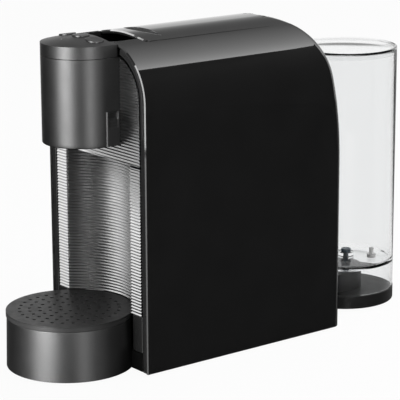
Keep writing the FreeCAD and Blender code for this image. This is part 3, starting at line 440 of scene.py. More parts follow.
def valveBlue():
    return clouded("valve blue", (0.01, 0.035, 0.06), 0.3, [300],
                   ((0.008, 0.03, 0.05), (0.015, 0.045, 0.075)), (0.25, 0.4))


finishes = {
    "gloss_black": glossBlack(), "satin_anthracite": satinAnthracite(),
    "ribbed_silver": ribbedSilver(), "black_plastic": mattBlack(),
    "dark_grille": mattBlack("dark grille", 0.03, 0.42), "clear_plastic": clearPlastic(),
    "bin_plastic": mattBlack("bin plastic", 0.02, 0.55), "rubber_black": rubber(), "steel": steel(),
    "cast_aluminium": castAluminium(), "white_plastic": whitePlastic(),
    "seal_silicone": silicone(), "board_green": boardGreen(), "valve_blue": valveBlue(),
}
for node, thing in frame["nodes"].items():
    thing.data.materials.clear()
    thing.data.materials.append(finishes[slotOf[node]])
print("finishes made:", len(finishes))


# Casing

casingLow, casingHigh = corners("casing")
leverLow, leverHigh = corners("lever")
body = {"halfWidth": casingHigh[0], "depth": casingHigh[1], "top": leverHigh[2], "foot": casingLow[2],
        "crownRadius": 130, "shoulderRadius": 46, "rearDepth": 43.2, "rearDrop": 121.2, "rearRound": 10,
        "wall": 2.5}
crownRadius, shoulderRadius = body["crownRadius"], body["shoulderRadius"]
shoulderX = body["halfWidth"] - shoulderRadius
crownZ = body["top"] - crownRadius
centreGap = crownRadius - shoulderRadius
shoulderZ = crownZ + sqrt(centreGap ** 2 - shoulderX ** 2)
bend = asin(shoulderX / centreGap)
crownArc = crownRadius * bend
shoulderArc = shoulderRadius * (pi / 2 - bend)
wholeArc = crownArc + shoulderArc + shoulderZ - body["foot"]


def archPoint(arc, inset):
    # x, z and outward normal at a length along the section from its top: a wide crown arc, a tighter
    # shoulder arc tangent to it, and a straight side
    side = np.sign(arc)
    run = np.abs(arc)
    crown = run < crownArc
    angle = np.where(crown, run / crownRadius,
                     np.minimum(bend + (run - crownArc) / shoulderRadius, pi / 2))
    radius = np.where(crown, crownRadius, shoulderRadius) - inset
    x = np.where(crown, 0, shoulderX) + radius * np.sin(angle)
    z = np.where(crown, crownZ, shoulderZ) + radius * np.cos(angle)
    z = z - np.maximum(run - crownArc - shoulderArc, 0)
    return side * x, z, side * np.sin(angle), np.cos(angle)


def archArc(x, z):
    # the length along the section nearest to a point
    side = np.sign(x)
    wide = np.abs(x)
    crownAngle = np.arctan2(wide, z - crownZ)
    shoulderAngle = np.arctan2(wide - shoulderX, np.maximum(z - shoulderZ, 1e-9))
    onCrown = crownRadius * crownAngle
    onShoulder = crownArc + shoulderRadius * (shoulderAngle - bend)
    onSide = crownArc + shoulderArc + shoulderZ - z
    return side * np.where(z < shoulderZ, onSide, np.where(crownAngle < bend, onCrown, onShoulder))


def rearFace(z, inset):
    # how far back the rear face lies, upright below and a quarter of an ellipse above, and its normal
    drop, reach = body["rearDrop"] - inset, body["rearDepth"] - inset
    high = np.clip((z - (body["top"] - body["rearDrop"])) / drop, 0, 1)
    flat = np.sqrt(1 - high ** 2)
    size = np.hypot(flat / reach, high / drop)
    return body["depth"] - body["rearDepth"] + reach * flat, flat / reach / size, high / drop / size


def skinPaths(arcs, inset, start, samples=60):
    # one path for each arc length: back along the section, round the rear edge on a circular
    # arc, and over the rear face towards the middle of its foot
    arcs = np.asarray(arcs, float)[:, None]
    radius = body["rearRound"] - inset
    x, z, nx, nz = archPoint(arcs, inset)
    y, ry, rz = rearFace(z, inset)
    edge = np.concatenate([x, y, z], 1)
    sideNormal = np.concatenate([nx, 0 * nx, nz], 1)
    backNormal = np.concatenate([0 * ry, ry, rz], 1)
    turn = np.sum(sideNormal * backNormal, 1, keepdims=True)
    reach = radius / (1 + turn)
    onSide = edge - reach * (backNormal - turn * sideNormal)
    onBack = edge - reach * (sideNormal - turn * backNormal)
    sideArc = archArc(onSide[:, :1], onSide[:, 2:] + 1e-9)
    t = np.linspace(0, 1, samples)[None, :]
    mixed = arcs + (sideArc - arcs) * t ** 5
    mixed = np.where(np.abs(arcs) < 1e-6, 0 * mixed, mixed)
    alongY = start + (onSide[:, 1:2] - start) * t
    sx, sz, _, _ = archPoint(mixed, inset)
    first = np.stack([sx, alongY, sz], -1)
    onSide = first[:, -1]
    onBack[:, 1] = rearFace(onBack[:, 2], inset)[0]
    weight = np.sqrt((1 + turn) / 2)[:, None]
    t = np.linspace(0, 1, samples // 2)[None, 1:, None]
    middle = conic(onSide[:, None], edge[:, None], onBack[:, None], weight, t)
    t = np.linspace(0, 1, samples)[None, 1:]
    lx = onBack[:, :1] * (1 - t)
    lz = onBack[:, 2:] + (body["foot"] - onBack[:, 2:]) * t
    last = np.stack([lx, rearFace(lz, inset)[0], lz], -1)
    return np.concatenate([first, middle, last], 1)


def along(paths, rows, bendWeight=15.0, begin=None, end=None):
    # points spaced along each path by length, closer where it bends
    steps = np.diff(paths, axis=1)
    length = np.linalg.norm(steps, axis=2)
    ahead = steps / np.maximum(length, 1e-9)[..., None]
    turn = np.arccos(np.clip(np.sum(ahead[:, 1:] * ahead[:, :-1], 2), -1, 1))
    turn = np.concatenate([turn, turn[:, -1:] * 0], 1)
    weight = np.concatenate([np.zeros((len(paths), 1)), np.cumsum(length + bendWeight * turn, 1)], 1)
    out = []
    for number, path in enumerate(paths):
        low = 0 if begin is None else begin[number]
        high = weight[number, -1] if end is None else end[number]
        places = low + (high - low) * rows
        out.append(np.stack([np.interp(places, weight[number], path[:, axis]) for axis in range(3)], -1))
    return np.stack(out, 1)


def shellRings(outer, inner, wall, lip):
    # outer and inner skins joined into closed rings; the front lip is flat in its middle, cut to a chamfer
    # outside and turned on a quarter ellipse inside
    inward = (inner[0] - outer[0]) / wall
    outerSteps = [(wall / 2, 0), (lip["chamfer"], 0), (0, lip["chamferBack"])]
    rings = []
    for (outerInset, outerBack), turn in zip(outerSteps, (0, pi / 6, pi / 3)):
        ahead = np.array([0, lip["depth"], 0])
        outerRow = outer[0] + inward * outerInset - ahead + [0, outerBack, 0]
        innerRow = outer[0] + inward * wall * (1 + sin(turn)) / 2 - ahead * cos(turn)
        rings.append(np.concatenate([outerRow, innerRow[::-1]]))
    for outerRow, innerRow in zip(outer, inner):
        rings.append(np.concatenate([outerRow, innerRow[::-1]]))
    return np.stack(rings)


shell = {"crownColumns": 14, "shoulderColumns": 24, "sideColumns": 22, "rows": 96,
         "lip": {"depth": 1.25, "chamfer": 1.1, "chamferBack": 0.64}, "edge": 0.3,
         "openingCorner": 8.4, "bowlCorner": 2, "bowlFront": -5, "seam": 0.8, "fit": 0.3,
         "cutAbove": 5, "cutBelow": 2, "cutInside": 6, "cutBehind": 4}
halfArcs = np.concatenate([
    np.linspace(0, crownArc, shell["crownColumns"], endpoint=False),
    np.linspace(crownArc, crownArc + shoulderArc, shell["shoulderColumns"], endpoint=False),
    np.linspace(crownArc + shoulderArc, wholeArc, shell["sideColumns"])])
arcs = np.concatenate([-halfArcs[:0:-1], halfArcs])
rowPlaces = np.linspace(0, 1, shell["rows"])
outerSkin = along(skinPaths(arcs, 0, shell["lip"]["depth"]), rowPlaces)
innerSkin = along(skinPaths(arcs, body["wall"], shell["lip"]["depth"]), rowPlaces)
casingRings = shellRings(outerSkin, innerSkin, body["wall"], shell["lip"])
casingMesh = makeMesh("casing_shell", loft(casingRings, startCap=False, endCap=False))

recessHigh = corners("finger_recess")[1]
pedestalLow, pedestalHigh = corners("tank_pedestal")
glandHigh = corners("cord_gland")[1]
hinge = centreOf("hinge_pin")[1:]
cover = {"halfWidth": leverHigh[0], "front": leverLow[1], "wall": 3.5, "corner": 8, "swing": 11.4,
         "columns": 81, "lip": {"depth": 1.75, "chamfer": 1.0, "chamferBack": 1.3}, "edge": 0.25,
         "grooveY": 43, "grooveBend": 6, "grooveHalf": 6.4, "grooveWide": 26, "grooveDepth": 1.7,
         "grooveWall": 2.4, "rubberFrom": 0.4, "rubberUp": 0.2, "crowding": 0.25}


def openingPlan(gap):
    # the lever's opening seen from above, with a narrower finger bowl in front
    wide = cover["halfWidth"] + gap
    narrow = recessHigh[0] + gap
    front, back, start = cover["front"] - gap, hinge[0], shell["bowlFront"]
    points = [(-narrow, start), (narrow, start), (narrow, front), (wide, front), (wide, back), (-wide, back),
              (-wide, front), (-narrow, front)]
    inner, outer = shell["bowlCorner"], shell["openingCorner"]
    return rounded(points, [0, 0, inner, outer, 0, 0, outer, inner], 8)


gap = shell["seam"]
gland = {"wall": 1.5}
glandMiddle = centreOf("cord_gland")
glandRadius = glandHigh[2] - glandMiddle[2] - gland["wall"]
cutFrom, cutTo = body["depth"] - shell["cutInside"], body["depth"] + shell["cutBehind"]
leverSide = cover["halfWidth"] + gap
left, right = pedestalLow[0] - shell["fit"], pedestalHigh[0] + shell["fit"]
casingMesh = cutAway(
    casingMesh,
    prism(openingPlan(gap), shoulderZ, body["top"] + shell["cutAbove"]),
    prism(circle(hinge, cover["swing"] + 2 * gap, 96), -leverSide, leverSide, 0),
    prism([(left, cutFrom), (right, cutFrom), (right, cutTo), (left, cutTo)],
          -shell["cutBelow"], pedestalHigh[2] + shell["fit"]),
    prism(circle((glandMiddle[0], glandMiddle[2]), glandRadius, 32), cutFrom, cutTo, 1))
addPiece("casing_shell", casingMesh, ["casing"], 25, shell["edge"], bevelAngle=50)
print("casing made")


# Lever

def swingCrossing(paths, swing):
    # how far along each path it meets the hinge's swing circle, in the measure of along
    steps = np.diff(paths, axis=1)
    length = np.linalg.norm(steps, axis=2)
    run = np.concatenate([np.zeros((len(paths), 1)), np.cumsum(length, 1)], 1)
    distance = np.hypot(paths[..., 1] - hinge[0], paths[..., 2] - hinge[1])
    beyond = paths[..., 1] > hinge[0]
    found = []
    for number in range(len(paths)):
        hit = np.argmax(beyond[number] & (distance[number] > swing))
        share = (swing - distance[number, hit - 1]) / (distance[number, hit] - distance[number, hit - 1])
        found.append(run[number, hit - 1] + np.clip(share, 0, 1) * (run[number, hit] - run[number, hit - 1]))
    return np.array(found)


def grooveReach(x, y):
    # how far inside the finger groove's outline a point lies: a crescent that narrows with the square of
    # its distance from the middle and bends back the same way
    share = (x / cover["grooveWide"]) ** 2
    middle = cover["grooveY"] + cover["grooveBend"] * share
    return cover["grooveHalf"] * np.clip(1 - share, 0, 1) - np.abs(y - middle)


# columns stand closer towards both sides, rows closer round the finger groove
even = np.linspace(-1, 1, cover["columns"])
crowding = cover["crowding"]
leverX = cover["halfWidth"] * (crowding * np.sin(even * pi / 2) + (1 - crowding) * even)
leverArcs = crownRadius * np.arcsin(leverX / crownRadius)
cornerRun = np.maximum(np.abs(leverX) - cover["halfWidth"] + cover["corner"], 0)
leverStart = cover["corner"] - np.sqrt(cover["corner"] ** 2 - cornerRun ** 2)
leverRows = np.concatenate([
    np.linspace(0, 0.03, 6, endpoint=False),
    np.linspace(0.03, 0.2, 84, endpoint=False),
    np.linspace(0.2, 1, 50)])
first = cover["front"] + cover["lip"]["depth"]
skins = []
for inset in (0.0, cover["wall"]):
    paths = skinPaths(leverArcs, inset, first, 200)
    stop = swingCrossing(paths, cover["swing"])
    skins.append(along(paths, leverRows, 0.0, leverStart, stop))
leverOuter, leverInner = skins
sunk = np.clip(grooveReach(leverOuter[..., 0], leverOuter[..., 1]) / cover["grooveWall"], 0, 1)
sunk = sunk * sunk * (3 - 2 * sunk)
lean = leverOuter[..., 0] / crownRadius
outwards = np.stack([lean, 0 * lean, np.sqrt(1 - lean ** 2)], -1)
leverOuter = leverOuter - outwards * (cover["grooveDepth"] * sunk)[..., None]
leverRings = shellRings(leverOuter, leverInner, cover["wall"], cover["lip"])
leverMesh = makeMesh("lever_cover", loft(leverRings, startCap=False, endCap=True))
lever = addPiece("lever_cover", leverMesh, ["lever"], 28, cover["edge"], bevelAngle=45)
leverMesh.materials.append(finishes["rubber_black"])


def faceValues(mesh, kind):
    # the centre or normal of every face
    values = np.empty(len(mesh.polygons) * 3)
    mesh.polygons.foreach_get(kind, values)
    return values.reshape(-1, 3)


# the groove's floor and lower walls are rubber, not the underside behind them
centres = faceValues(leverMesh, "center") / mm - np.array([0, frontPlane / mm, 0])
inGroove = grooveReach(centres[:, 0], centres[:, 1]) > cover["rubberFrom"]
facesUp = faceValues(leverMesh, "normal")[:, 2] > cover["rubberUp"]
leverMesh.polygons.foreach_set("material_index", (inGroove & facesUp).astype(np.int32))
print("lever made")


# Front

bezel = {"inset": 2.6, "width": 8, "notch": 33.4, "edge": 0.8, "steps": 90}


def bezelShape(side):
    # a rounded bar profile carried along the arch from the foot to the head's notch
    low, high = corners("front_bezel_right")
    start = crownRadius * asin(bezel["notch"] / (crownRadius - bezel["width"]))
    places = np.linspace(start, wholeArc, bezel["steps"])
    profile = rounded([(bezel["inset"], low[1]), (bezel["inset"], high[1]),
                       (bezel["width"], high[1]), (bezel["width"], low[1])],
                      [bezel["edge"], 0.3, 0.3, bezel["edge"]], 4)
    rings = []
    for inset, depth in profile:
        x, z, _, _ = archPoint(places, inset)
        rings.append(np.stack([side * x, np.full(len(x), depth), z], -1))
    return loft(np.stack(rings, 1))


for side, node in ((-1, "front_bezel_left"), (1, "front_bezel_right")):
    addPiece(node.replace("front_bezel", "front_rim"), makeMesh(node, bezelShape(side)), [node], 40)

drawerLow, drawerHigh = corners("drawer_front")
panelLow, panelHigh = corners("upper_panel")
trayHigh = corners("drip_tray")[1]
trayMiddle = centreOf("drip_tray")
ribs = {"pitch": 2.53, "depth": 0.75, "roundness": 1.1, "samples": 10, "bayRadius": 53.2, "wall": 3.5,
        "gap": 1.3, "sideGap": 1.6, "arcSteps": 49, "sideSteps": 8}


def ribbed(low, high, base, ring):
    # rings at even heights, each made from its height and how far the ribs are sunk there: a raised cosine
    # of the height above the base, to a power
    count = max(int((high - low) / ribs["pitch"] * ribs["samples"]), 4)
    heights = np.linspace(low, high, count)
    wave = 0.5 - 0.5 * np.cos(2 * pi * (heights - base) / ribs["pitch"])
    return loft([ring(*pair) for pair in zip(heights, ribs["depth"] * wave ** ribs["roundness"])])


def bayPath(inset):
    # drawer front seen from above: flat at both sides, hollowed round the cup bay between
    front = drawerLow[1] + inset
    radius = ribs["bayRadius"] + inset
    reach = front - trayMiddle[1]
    half = sqrt(radius ** 2 - reach ** 2)
    turn = atan2(half, reach)
    angles = np.linspace(-turn, turn, ribs["arcSteps"])
    arc = np.column_stack([radius * np.sin(angles), trayMiddle[1] + radius * np.cos(angles)])
    side = drawerHigh[0] - ribs["sideGap"]
    count = ribs["sideSteps"]
    left = np.column_stack([np.linspace(-side, -half, count, endpoint=False), np.full(count, front)])
    right = np.column_stack([np.linspace(half, side, count + 1)[1:], np.full(count, front)])
    return np.vstack([left, arc, right])


def drawerShape():
    # the bay's plan at every height, its front set back by the ribs
    back = bayPath(ribs["wall"])[::-1]
    return ribbed(drawerLow[2], drawerHigh[2] - ribs["gap"], drawerLow[2],
                  lambda z, sunk: level(np.vstack([bayPath(sunk), back]), z))


def panelPart(low, high, fromX, toX):
    # ribbed slab between two side lines, front at the panel's face
    def ring(z, sunk):
        x0, x1, front, back = fromX(z), toX(z), panelLow[1] + sunk, panelHigh[1]
        return [(x0, front, z), (x1, front, z), (x1, back, z), (x0, back, z)]

    return ribbed(low, high, panelLow[2], ring)


panel = {"inset": 9.9, "notch": 33.0, "notchFoot": 184.3}


def archHalf(z):
    # half width of the arch at a height, inside the rim
    if z < shoulderZ:
        return body["halfWidth"] - panel["inset"]
    radius = shoulderRadius - panel["inset"]
    wide = shoulderX + sqrt(max(radius ** 2 - (z - shoulderZ) ** 2, 0))
    outer = crownRadius - panel["inset"]
    crown = sqrt(max(outer ** 2 - (z - crownZ) ** 2, 0))
    return crown if z > crownZ + outer * cos(bend) else wide


panelTop = crownZ + sqrt((crownRadius - panel["inset"]) ** 2 - panel["notch"] ** 2)
panelMesh = makeMesh("upper_ribs", combine(
    panelPart(panelLow[2], panel["notchFoot"], lambda z: -archHalf(z), archHalf),
    panelPart(panel["notchFoot"], panelTop, lambda z: panel["notch"], archHalf),
    panelPart(panel["notchFoot"], panelTop, lambda z: -archHalf(z), lambda z: -panel["notch"])))
addPiece("upper_ribs", panelMesh, ["upper_panel"], 50)
addPiece("drawer_ribs", makeMesh("drawer_ribs", drawerShape()), ["drawer_front"], 50)
print("front made")


# Head

headLow, headHigh = corners("head_shell")
capLow, capHigh = corners("control_cap")
spoutHigh = corners("spout_nozzle")[1]
insertLow, insertHigh = corners("head_insert_right")
spoutMiddle = centreOf("spout_nozzle")
head = {"radius": headHigh[0], "centre": headLow[1] + headHigh[0], "wall": 2.5, "edge": 0.9,
        "rearNotch": 2.6, "notchGap": 0.4, "notchSoft": 0.1, "fit": 0.1, "insertFoot": 0.4, "cut": 2,
        "arcSteps": 65, "sideSteps": 14}


def headPlan(inset, back):
    # a half circle in front with straight sides going back
    radius = head["radius"] - inset
    turn = np.linspace(-pi / 2, pi / 2, head["arcSteps"])
    arc = np.column_stack([radius * np.sin(turn), head["centre"] - radius * np.cos(turn)])
    sideY = np.linspace(head["centre"], back, head["sideSteps"])[1:]
    right = np.column_stack([np.full(len(sideY), radius), sideY])
    left = right[::-1] * [-1, 1]
    rearX = np.linspace(radius, -radius, head["sideSteps"])[1:-1]
    rear = np.column_stack([rearX, np.full(len(rearX), back)])
    return np.vstack([arc, right, rear, left])


def headRings():
    # down the outside, round the lower edge, in to the spout, and back up the inside
    back, edge, wall = headHigh[1], head["edge"], head["wall"]
    steps = []
    for z in np.linspace(headHigh[2], headLow[2] + edge, 30):
        steps.append((0, z))
    for t in np.linspace(0, pi / 2, 5)[1:]:
        steps.append((edge * (1 - cos(t)), headLow[2] + edge * (1 - sin(t))))
    rings = [level(headPlan(inset, back - inset), z) for inset, z in steps]
    plan = headPlan(edge, back - edge)
    angle = np.arctan2(plan[:, 0], spoutMiddle[1] - plan[:, 1])
    hole = spoutHigh[0] - spoutMiddle[0] + head["fit"]
    ring = np.column_stack([hole * np.sin(angle), spoutMiddle[1] - hole * np.cos(angle)])
    for share in (0.5, 1.0):
        rings.append(level(plan + (ring - plan) * share, headLow[2]))
    rings.append(level(ring, headLow[2] + wall))
    for z in (headLow[2] + wall, headHigh[2]):
        rings.append(level(headPlan(wall, back - wall), z))
    rings.append(rings[0])
    return rings


headMesh = makeMesh("head_cover", loft(headRings(), False, False))
front, rear = insertLow[1] - head["fit"], insertHigh[1] + head["fit"]
foot, top = headLow[2] + head["insertFoot"], insertHigh[2] + head["fit"]
insertBox = [(front, foot), (rear, foot), (rear, top), (front, top)]
outside = head["radius"] + head["cut"]
inside = head["radius"] - head["wall"] - head["cut"]
headMesh = cutAway(headMesh, prism(insertBox, inside, outside, 0), prism(insertBox, -outside, -inside, 0))
addPiece("head_cover", headMesh, ["head_shell"], 35, 0.25, bevelAngle=50)

insert = {"chamfer": 0.65, "chamferCut": 1.1, "scoop": 1.5, "scoopLow": 207.0, "scoopHigh": 211.8,
          "ridge": 0.3, "ridges": (202.1, 204.8), "ridgeHalf": 0.7, "ridgeFoot": 200.2, "ridgeSoft": 0.4,
          "margin": 1.2, "softLow": 0.5, "soft": 0.3, "dense": 2}


def step(value, middle, width):
    # a soft step from 0 to 1: a half and half of the hyperbolic tangent
    return 0.5 + 0.5 * np.tanh((value - middle) / width)


def insertShape(side):
    # a grip set into the head's side: flat, its front edge cut off, sunk by soft steps to a scoop, and sunk
    # a little but for two bell curves, the ridges
    low, high = insertLow, insertHigh
    split, soft = low[1] + insert["dense"], insert["soft"]
    ys = np.concatenate([np.linspace(low[1], split, 12), np.linspace(split, high[1], 28)[1:]])
    y, z = np.meshgrid(ys, np.linspace(low[2], high[2], 90), indexing="ij")
    x = high[0] - insert["chamferCut"] * np.clip(1 - (y - low[1]) / insert["chamfer"], 0, 1)
    inside = step(y, low[1] + 2 * insert["margin"], soft) * step(-y, -high[1] + insert["margin"], soft)
    x = x - (insert["scoop"] * inside * step(z, insert["scoopLow"], insert["softLow"])
             * step(-z, -insert["scoopHigh"], soft))
    sunk = insert["ridge"] * inside * step(z, insert["ridgeFoot"], insert["ridgeSoft"])
    for place in insert["ridges"]:
        x = x - sunk * (1 - np.exp(-((z - place) / insert["ridgeHalf"]) ** 2))
    points, faces = slab(np.stack([x, y, z], -1), np.stack([np.full(x.shape, low[0]), y, z], -1))
    return points * [side, 1, 1], faces


for side, name in ((-1, "insert_left"), (1, "insert_right")):
    addPiece(name, makeMesh(name, insertShape(side)), ["head_" + name], 35)


def capShape():
    # the head's plan with a domed top: a cylinder's crown behind, a sphere's in front
    turn = np.linspace(0, pi / 2, 40)
    frontY = head["centre"] - head["radius"] * np.cos(turn)
    frontHalf = head["radius"] * np.sin(turn)
    rearY = np.linspace(head["centre"], capHigh[1], 12)[1:]
    ys = np.concatenate([frontY, rearY])
    halves = np.concatenate([frontHalf, np.full(len(rearY), head["radius"])])
    x = halves[:, None] * np.linspace(-1, 1, 49)[None, :]
    y = ys[:, None] + 0 * x
    # the middle of the rear edge stands a little forward, for the finger bowl
    notch = step(recessHigh[0] + head["notchGap"], np.abs(x), head["notchSoft"])
    late = np.clip((y - head["centre"]) / (capHigh[1] - head["centre"]), 0, 1)
    y = y - notch * late * head["rearNotch"]
    ahead = np.minimum(y - head["centre"], 0)
    z = crownZ + np.sqrt(crownRadius ** 2 - x ** 2 - ahead ** 2)
    return slab(np.stack([x, y, z], -1), np.stack([x, y, np.full(x.shape, capLow[2])], -1))


buttonNodes = ["short_cup_button", "power_button", "long_cup_button"]
buttonPlaces = [centreOf(node) for node in buttonNodes]
button = {"radius": corners("power_button")[1][0] - buttonPlaces[1][0], "proud": 1.2, "edge": 0.5,
          "gap": 0.35, "skirt": 4.5, "dish": (0.12, 0.2, 0.22), "wellDeep": 8, "wellAbove": 3, "steps": 72}
wells = [prism(circle(place[:2], button["radius"] + button["gap"], button["steps"]),
               body["top"] - button["wellDeep"], body["top"] + button["wellAbove"]) for place in buttonPlaces]
capMesh = cutAway(makeMesh("cap_cover", capShape()), *wells)
addPiece("cap_cover", capMesh, ["control_cap"], 35, 0.5, 3, 42)


def buttonShape(place):
    # a turned disc, a little dished, whose heights are added to the crown's arc
    radius, edge = button["radius"], button["edge"]
    outer, inner, deepest = button["dish"]
    profile = [(radius, -button["skirt"]), (radius, -edge), (radius - 0.15 * edge, -0.45 * edge),
               (radius - 0.45 * edge, -0.15 * edge), (radius - edge, 0), (radius * 0.7, -outer),
               (radius * 0.35, -inner), (0, -deepest)]
    points, faces = revolve(profile, place[:2], button["steps"])
    crown = crownZ + np.sqrt(crownRadius ** 2 - points[:, 0] ** 2)
    points[:, 2] = np.minimum(points[:, 2] + crown, body["top"]) + button["proud"]
    faces.append(list(range(button["steps"])))
    return points, faces


for node, place in zip(buttonNodes, buttonPlaces):
    addPiece(node.replace("_button", "_key"), makeMesh(node, buttonShape(place)), [node], 40)
print("head made")


# Tray, base and tank

plateHigh = corners("cup_plate")[1]
plate = {"radius": plateHigh[0], "cut": 0.6, "past": 1, "seam": 0.55, "lipBelow": 0.95, "lip": 0.6}


def ringCut(low, tall):
    # a groove round the plate's rim
    inner, outer = plate["radius"] - plate["cut"], plate["radius"] + plate["past"]
    profile = [(inner, low), (outer, low), (outer, low + tall), (inner, low + tall), (inner, low)]
    return revolve(profile, trayMiddle, 144)


plateMesh = cutAway(softened("cup_plate"), ringCut(trayHigh[2], plate["seam"]),
                    ringCut(plateHigh[2] - plate["lipBelow"], plate["lip"]))
addPiece("plate_disc", plateMesh, ["cup_plate"], 35, 0.2)

# nodes whose shape is right as it is, with the radius and the steps of their rounded edges
edges = {("drip_tray", "tray_body"): (0.5, 3), ("plinth", "plinth_shelf"): (0.8, 3),
         ("base_pan", "base_moulding"): (0.5, 2), ("finger_recess", "finger_bowl"): (0.4, 2),
         ("tank_base", "tank_foot"): (0.9, 3), ("tank_pedestal", "tank_stand"): (0.6, 2),
         ("cord_gland", "cable_gland"): (0.5, 2), ("tank_float", "float_body"): (0.3, 2),
         ("valve_poppet", "valve_plunger"): (0.3, 2)}
for (node, name), (bevel, segments) in edges.items():
    addPiece(name, softened(node), [node], 35, bevel, segments)

tankLow, tankHigh = corners("water_tank")
lidLow, lidHigh = corners("tank_lid")
tank = {"radius": tankHigh[0], "wall": 2.0, "floorLow": 36.6, "floorHigh": 39.0,
        "notchHalf": 23, "notchTop": 32, "tubeRadius": 7.0, "tubeTop": 41.6, "tubeLift": 0.5,
        "tubeBore": 2.45, "cut": 3, "boreCut": 2}
tankCentre = centreOf("water_tank")


def tankShape():
    # a turned cup whose floor lies above its foot
    outer, inner = tank["radius"], tank["radius"] - tank["wall"]
    profile = [(0, tank["floorLow"]), (inner, tank["floorLow"]), (inner, tankLow[2]), (outer, tankLow[2]),
               (outer, tankHigh[2]), (inner, tankHigh[2]), (inner, tank["floorHigh"]), (0, tank["floorHigh"])]
    return revolve(rounded(profile, [0, 1.2, 0.5, 0.5, 0.6, 0.6, 2.5, 0], 5), tankCentre, 144)


valveLow = corners("valve_poppet")[0]
valveMiddle = centreOf("valve_poppet")
half, front = tank["notchHalf"], tankLow[1] - tank["cut"]
notchBox = prism([(-half, tankCentre[1]), (-half, front), (half, front), (half, tankCentre[1])],
                 tankLow[2] - tank["cut"], tank["notchTop"])
# the valve's seat, a short tube through the tank's floor
tube = prism(circle(valveMiddle[:2], tank["tubeRadius"], 64), valveLow[2] + tank["tubeLift"], tank["tubeTop"])
tubeBore = prism(circle(valveMiddle[:2], tank["tubeBore"], 48), valveLow[2] - tank["boreCut"],
                 tank["tubeTop"] + tank["boreCut"])
tankMesh = worked(makeMesh("clear_tank", tankShape()), ("DIFFERENCE", notchBox), ("UNION", tube),
                  ("DIFFERENCE", tubeBore))
addPiece("clear_tank", tankMesh, ["water_tank"], 35)

lid = {"rim": 1.6, "sunk": 0.6, "play": 0.5, "lift": 0.05, "lip": 1.5}


def lidShape():
    # turned: a flat lid with a low rim and a lip that sits inside the tank
    outer = tank["radius"]
    lip = outer - tank["wall"] - lid["play"]
    within, rim, sunk = lip - lid["lip"], outer - lid["rim"], lid["sunk"]
    top, low = lidHigh[2], tankHigh[2] + lid["lift"]
    profile = [(0, low), (within, low), (within, lidLow[2]), (lip, lidLow[2]), (lip, low), (outer, low),
               (outer, top), (rim, top), (rim - sunk, top - sunk), (0, top - sunk)]
    return revolve(rounded(profile, [0, 0.3, 0.3, 0.3, 0.3, 0.5, 0.6, 0.3, 0.3, 0], 4), tankCentre, 144)


addPiece("clear_lid", makeMesh("clear_lid", lidShape()), ["tank_lid"], 35)
print("tank made")


# Stage, camera and light

studio = {"floorSize": 8.0, "floorTone": 0.82, "plain": 0.95, "worldGlow": 0.45, "cardTone": 0.02}


def compute(tree, operation, *values):
    # one math node, fed by sockets or plain numbers
    node = addNode(tree, "Math")
    node.operation = operation
    for socket, value in zip(node.inputs, values):
        if isinstance(value, bpy.types.NodeSocket):
            tree.links.new(value, socket)
        else:
            socket.default_value = value
    return node.outputs[0]


def seenPlain(tree, weight):
    # the weight for what the camera sees straight, mirrored or through something clear, else nothing
    path = addNode(tree, "LightPath")
    seen = path.outputs["Is Camera Ray"]
    for kind in ("Is Glossy Ray", "Is Transmission Ray"):
        seen = compute(tree, "MAXIMUM", seen, path.outputs[kind])
    return compute(tree, "MULTIPLY", seen, weight)


def emptyTree(owner):
    # the bare node tree of a material or world
    owner.use_nodes = True
    owner.node_tree.nodes.clear()
    return owner.node_tree


def mixSeen(tree, usual, plain, weight, out):
    # the usual shader for lighting, the plain one for what is seen
    mix = addNode(tree, "MixShader")
    tree.links.new(seenPlain(tree, weight), mix.inputs[0])
    tree.links.new(usual.outputs[0], mix.inputs[1])
    tree.links.new(plain.outputs[0], mix.inputs[2])
    tree.links.new(mix.outputs[0], out.inputs[0])


def addSheet(name, points, made):
    # one flat four-sided face
    mesh = bpy.data.meshes.new(name)
    mesh.from_pydata([tuple(point) for point in points], [], [(0, 1, 2, 3)])
    mesh.materials.append(made)
    return addObject(name, mesh)


def makeFloor():
    made = bpy.data.materials.new("pale floor")
    tree = emptyTree(made)
    out = addNode(tree, "OutputMaterial")
    matt = addNode(tree, "BsdfDiffuse")
    matt.inputs["Color"].default_value = (*grey(studio["floorTone"]), 1)
    glow = addNode(tree, "Emission")
    mixSeen(tree, matt, glow, studio["plain"], out)
    half = studio["floorSize"] / 2
    floor = addSheet("floor", [(-half, -half, 0), (half, -half, 0), (half, half, 0), (-half, half, 0)], made)


def makeWorld():
    world = bpy.data.worlds.new("studio")
    tree = emptyTree(world)
    out = addNode(tree, "OutputWorld")
    plain = addNode(tree, "Background")
    plain.inputs["Strength"].default_value = studio["worldGlow"]
    white = addNode(tree, "Background")
    white.inputs["Color"].default_value = (*grey(1.0), 1)
    white.inputs["Strength"].default_value = 1.0
    mixSeen(tree, plain, white, 1.0, out)
    bpy.context.scene.world = world


def litGroup(name, things):
    # things that a lamp lights alone
    group = bpy.data.collections.new(name)
    for thing in things:
        group.objects.link(thing)
    return group


def piecesOf(slot):
    # everything that shows one finish
    return [thing for thing in bpy.context.scene.objects
            if thing.type == "MESH" and thing.data.materials[0] == finishes[slot]]


def addLamp(name, place, target, size, radiance, lit):
    # a rectangular lamp; its power follows from how bright its face is
    data = bpy.data.lights.new(name, "AREA")
    data.shape = "RECTANGLE"
    data.size, data.size_y = size
    data.energy = radiance * pi * size[0] * size[1]
    lamp = addObject(name, data)
    lamp.location = place
    lamp.rotation_euler = (Vector(target) - Vector(place)).to_track_quat("-Z", "Y").to_euler()
    lamp.visible_camera = False
    lamp.visible_transmission = False
    lamp.light_linking.receiver_collection = lit


softbox = {"near": 0.58, "far": -3.4, "front": -0.1, "back": 2.9, "height": 1.2, "radiance": 5.2,
           "fade": 7, "least": 0.14, "farGlow": 1.0, "farFade": 4}


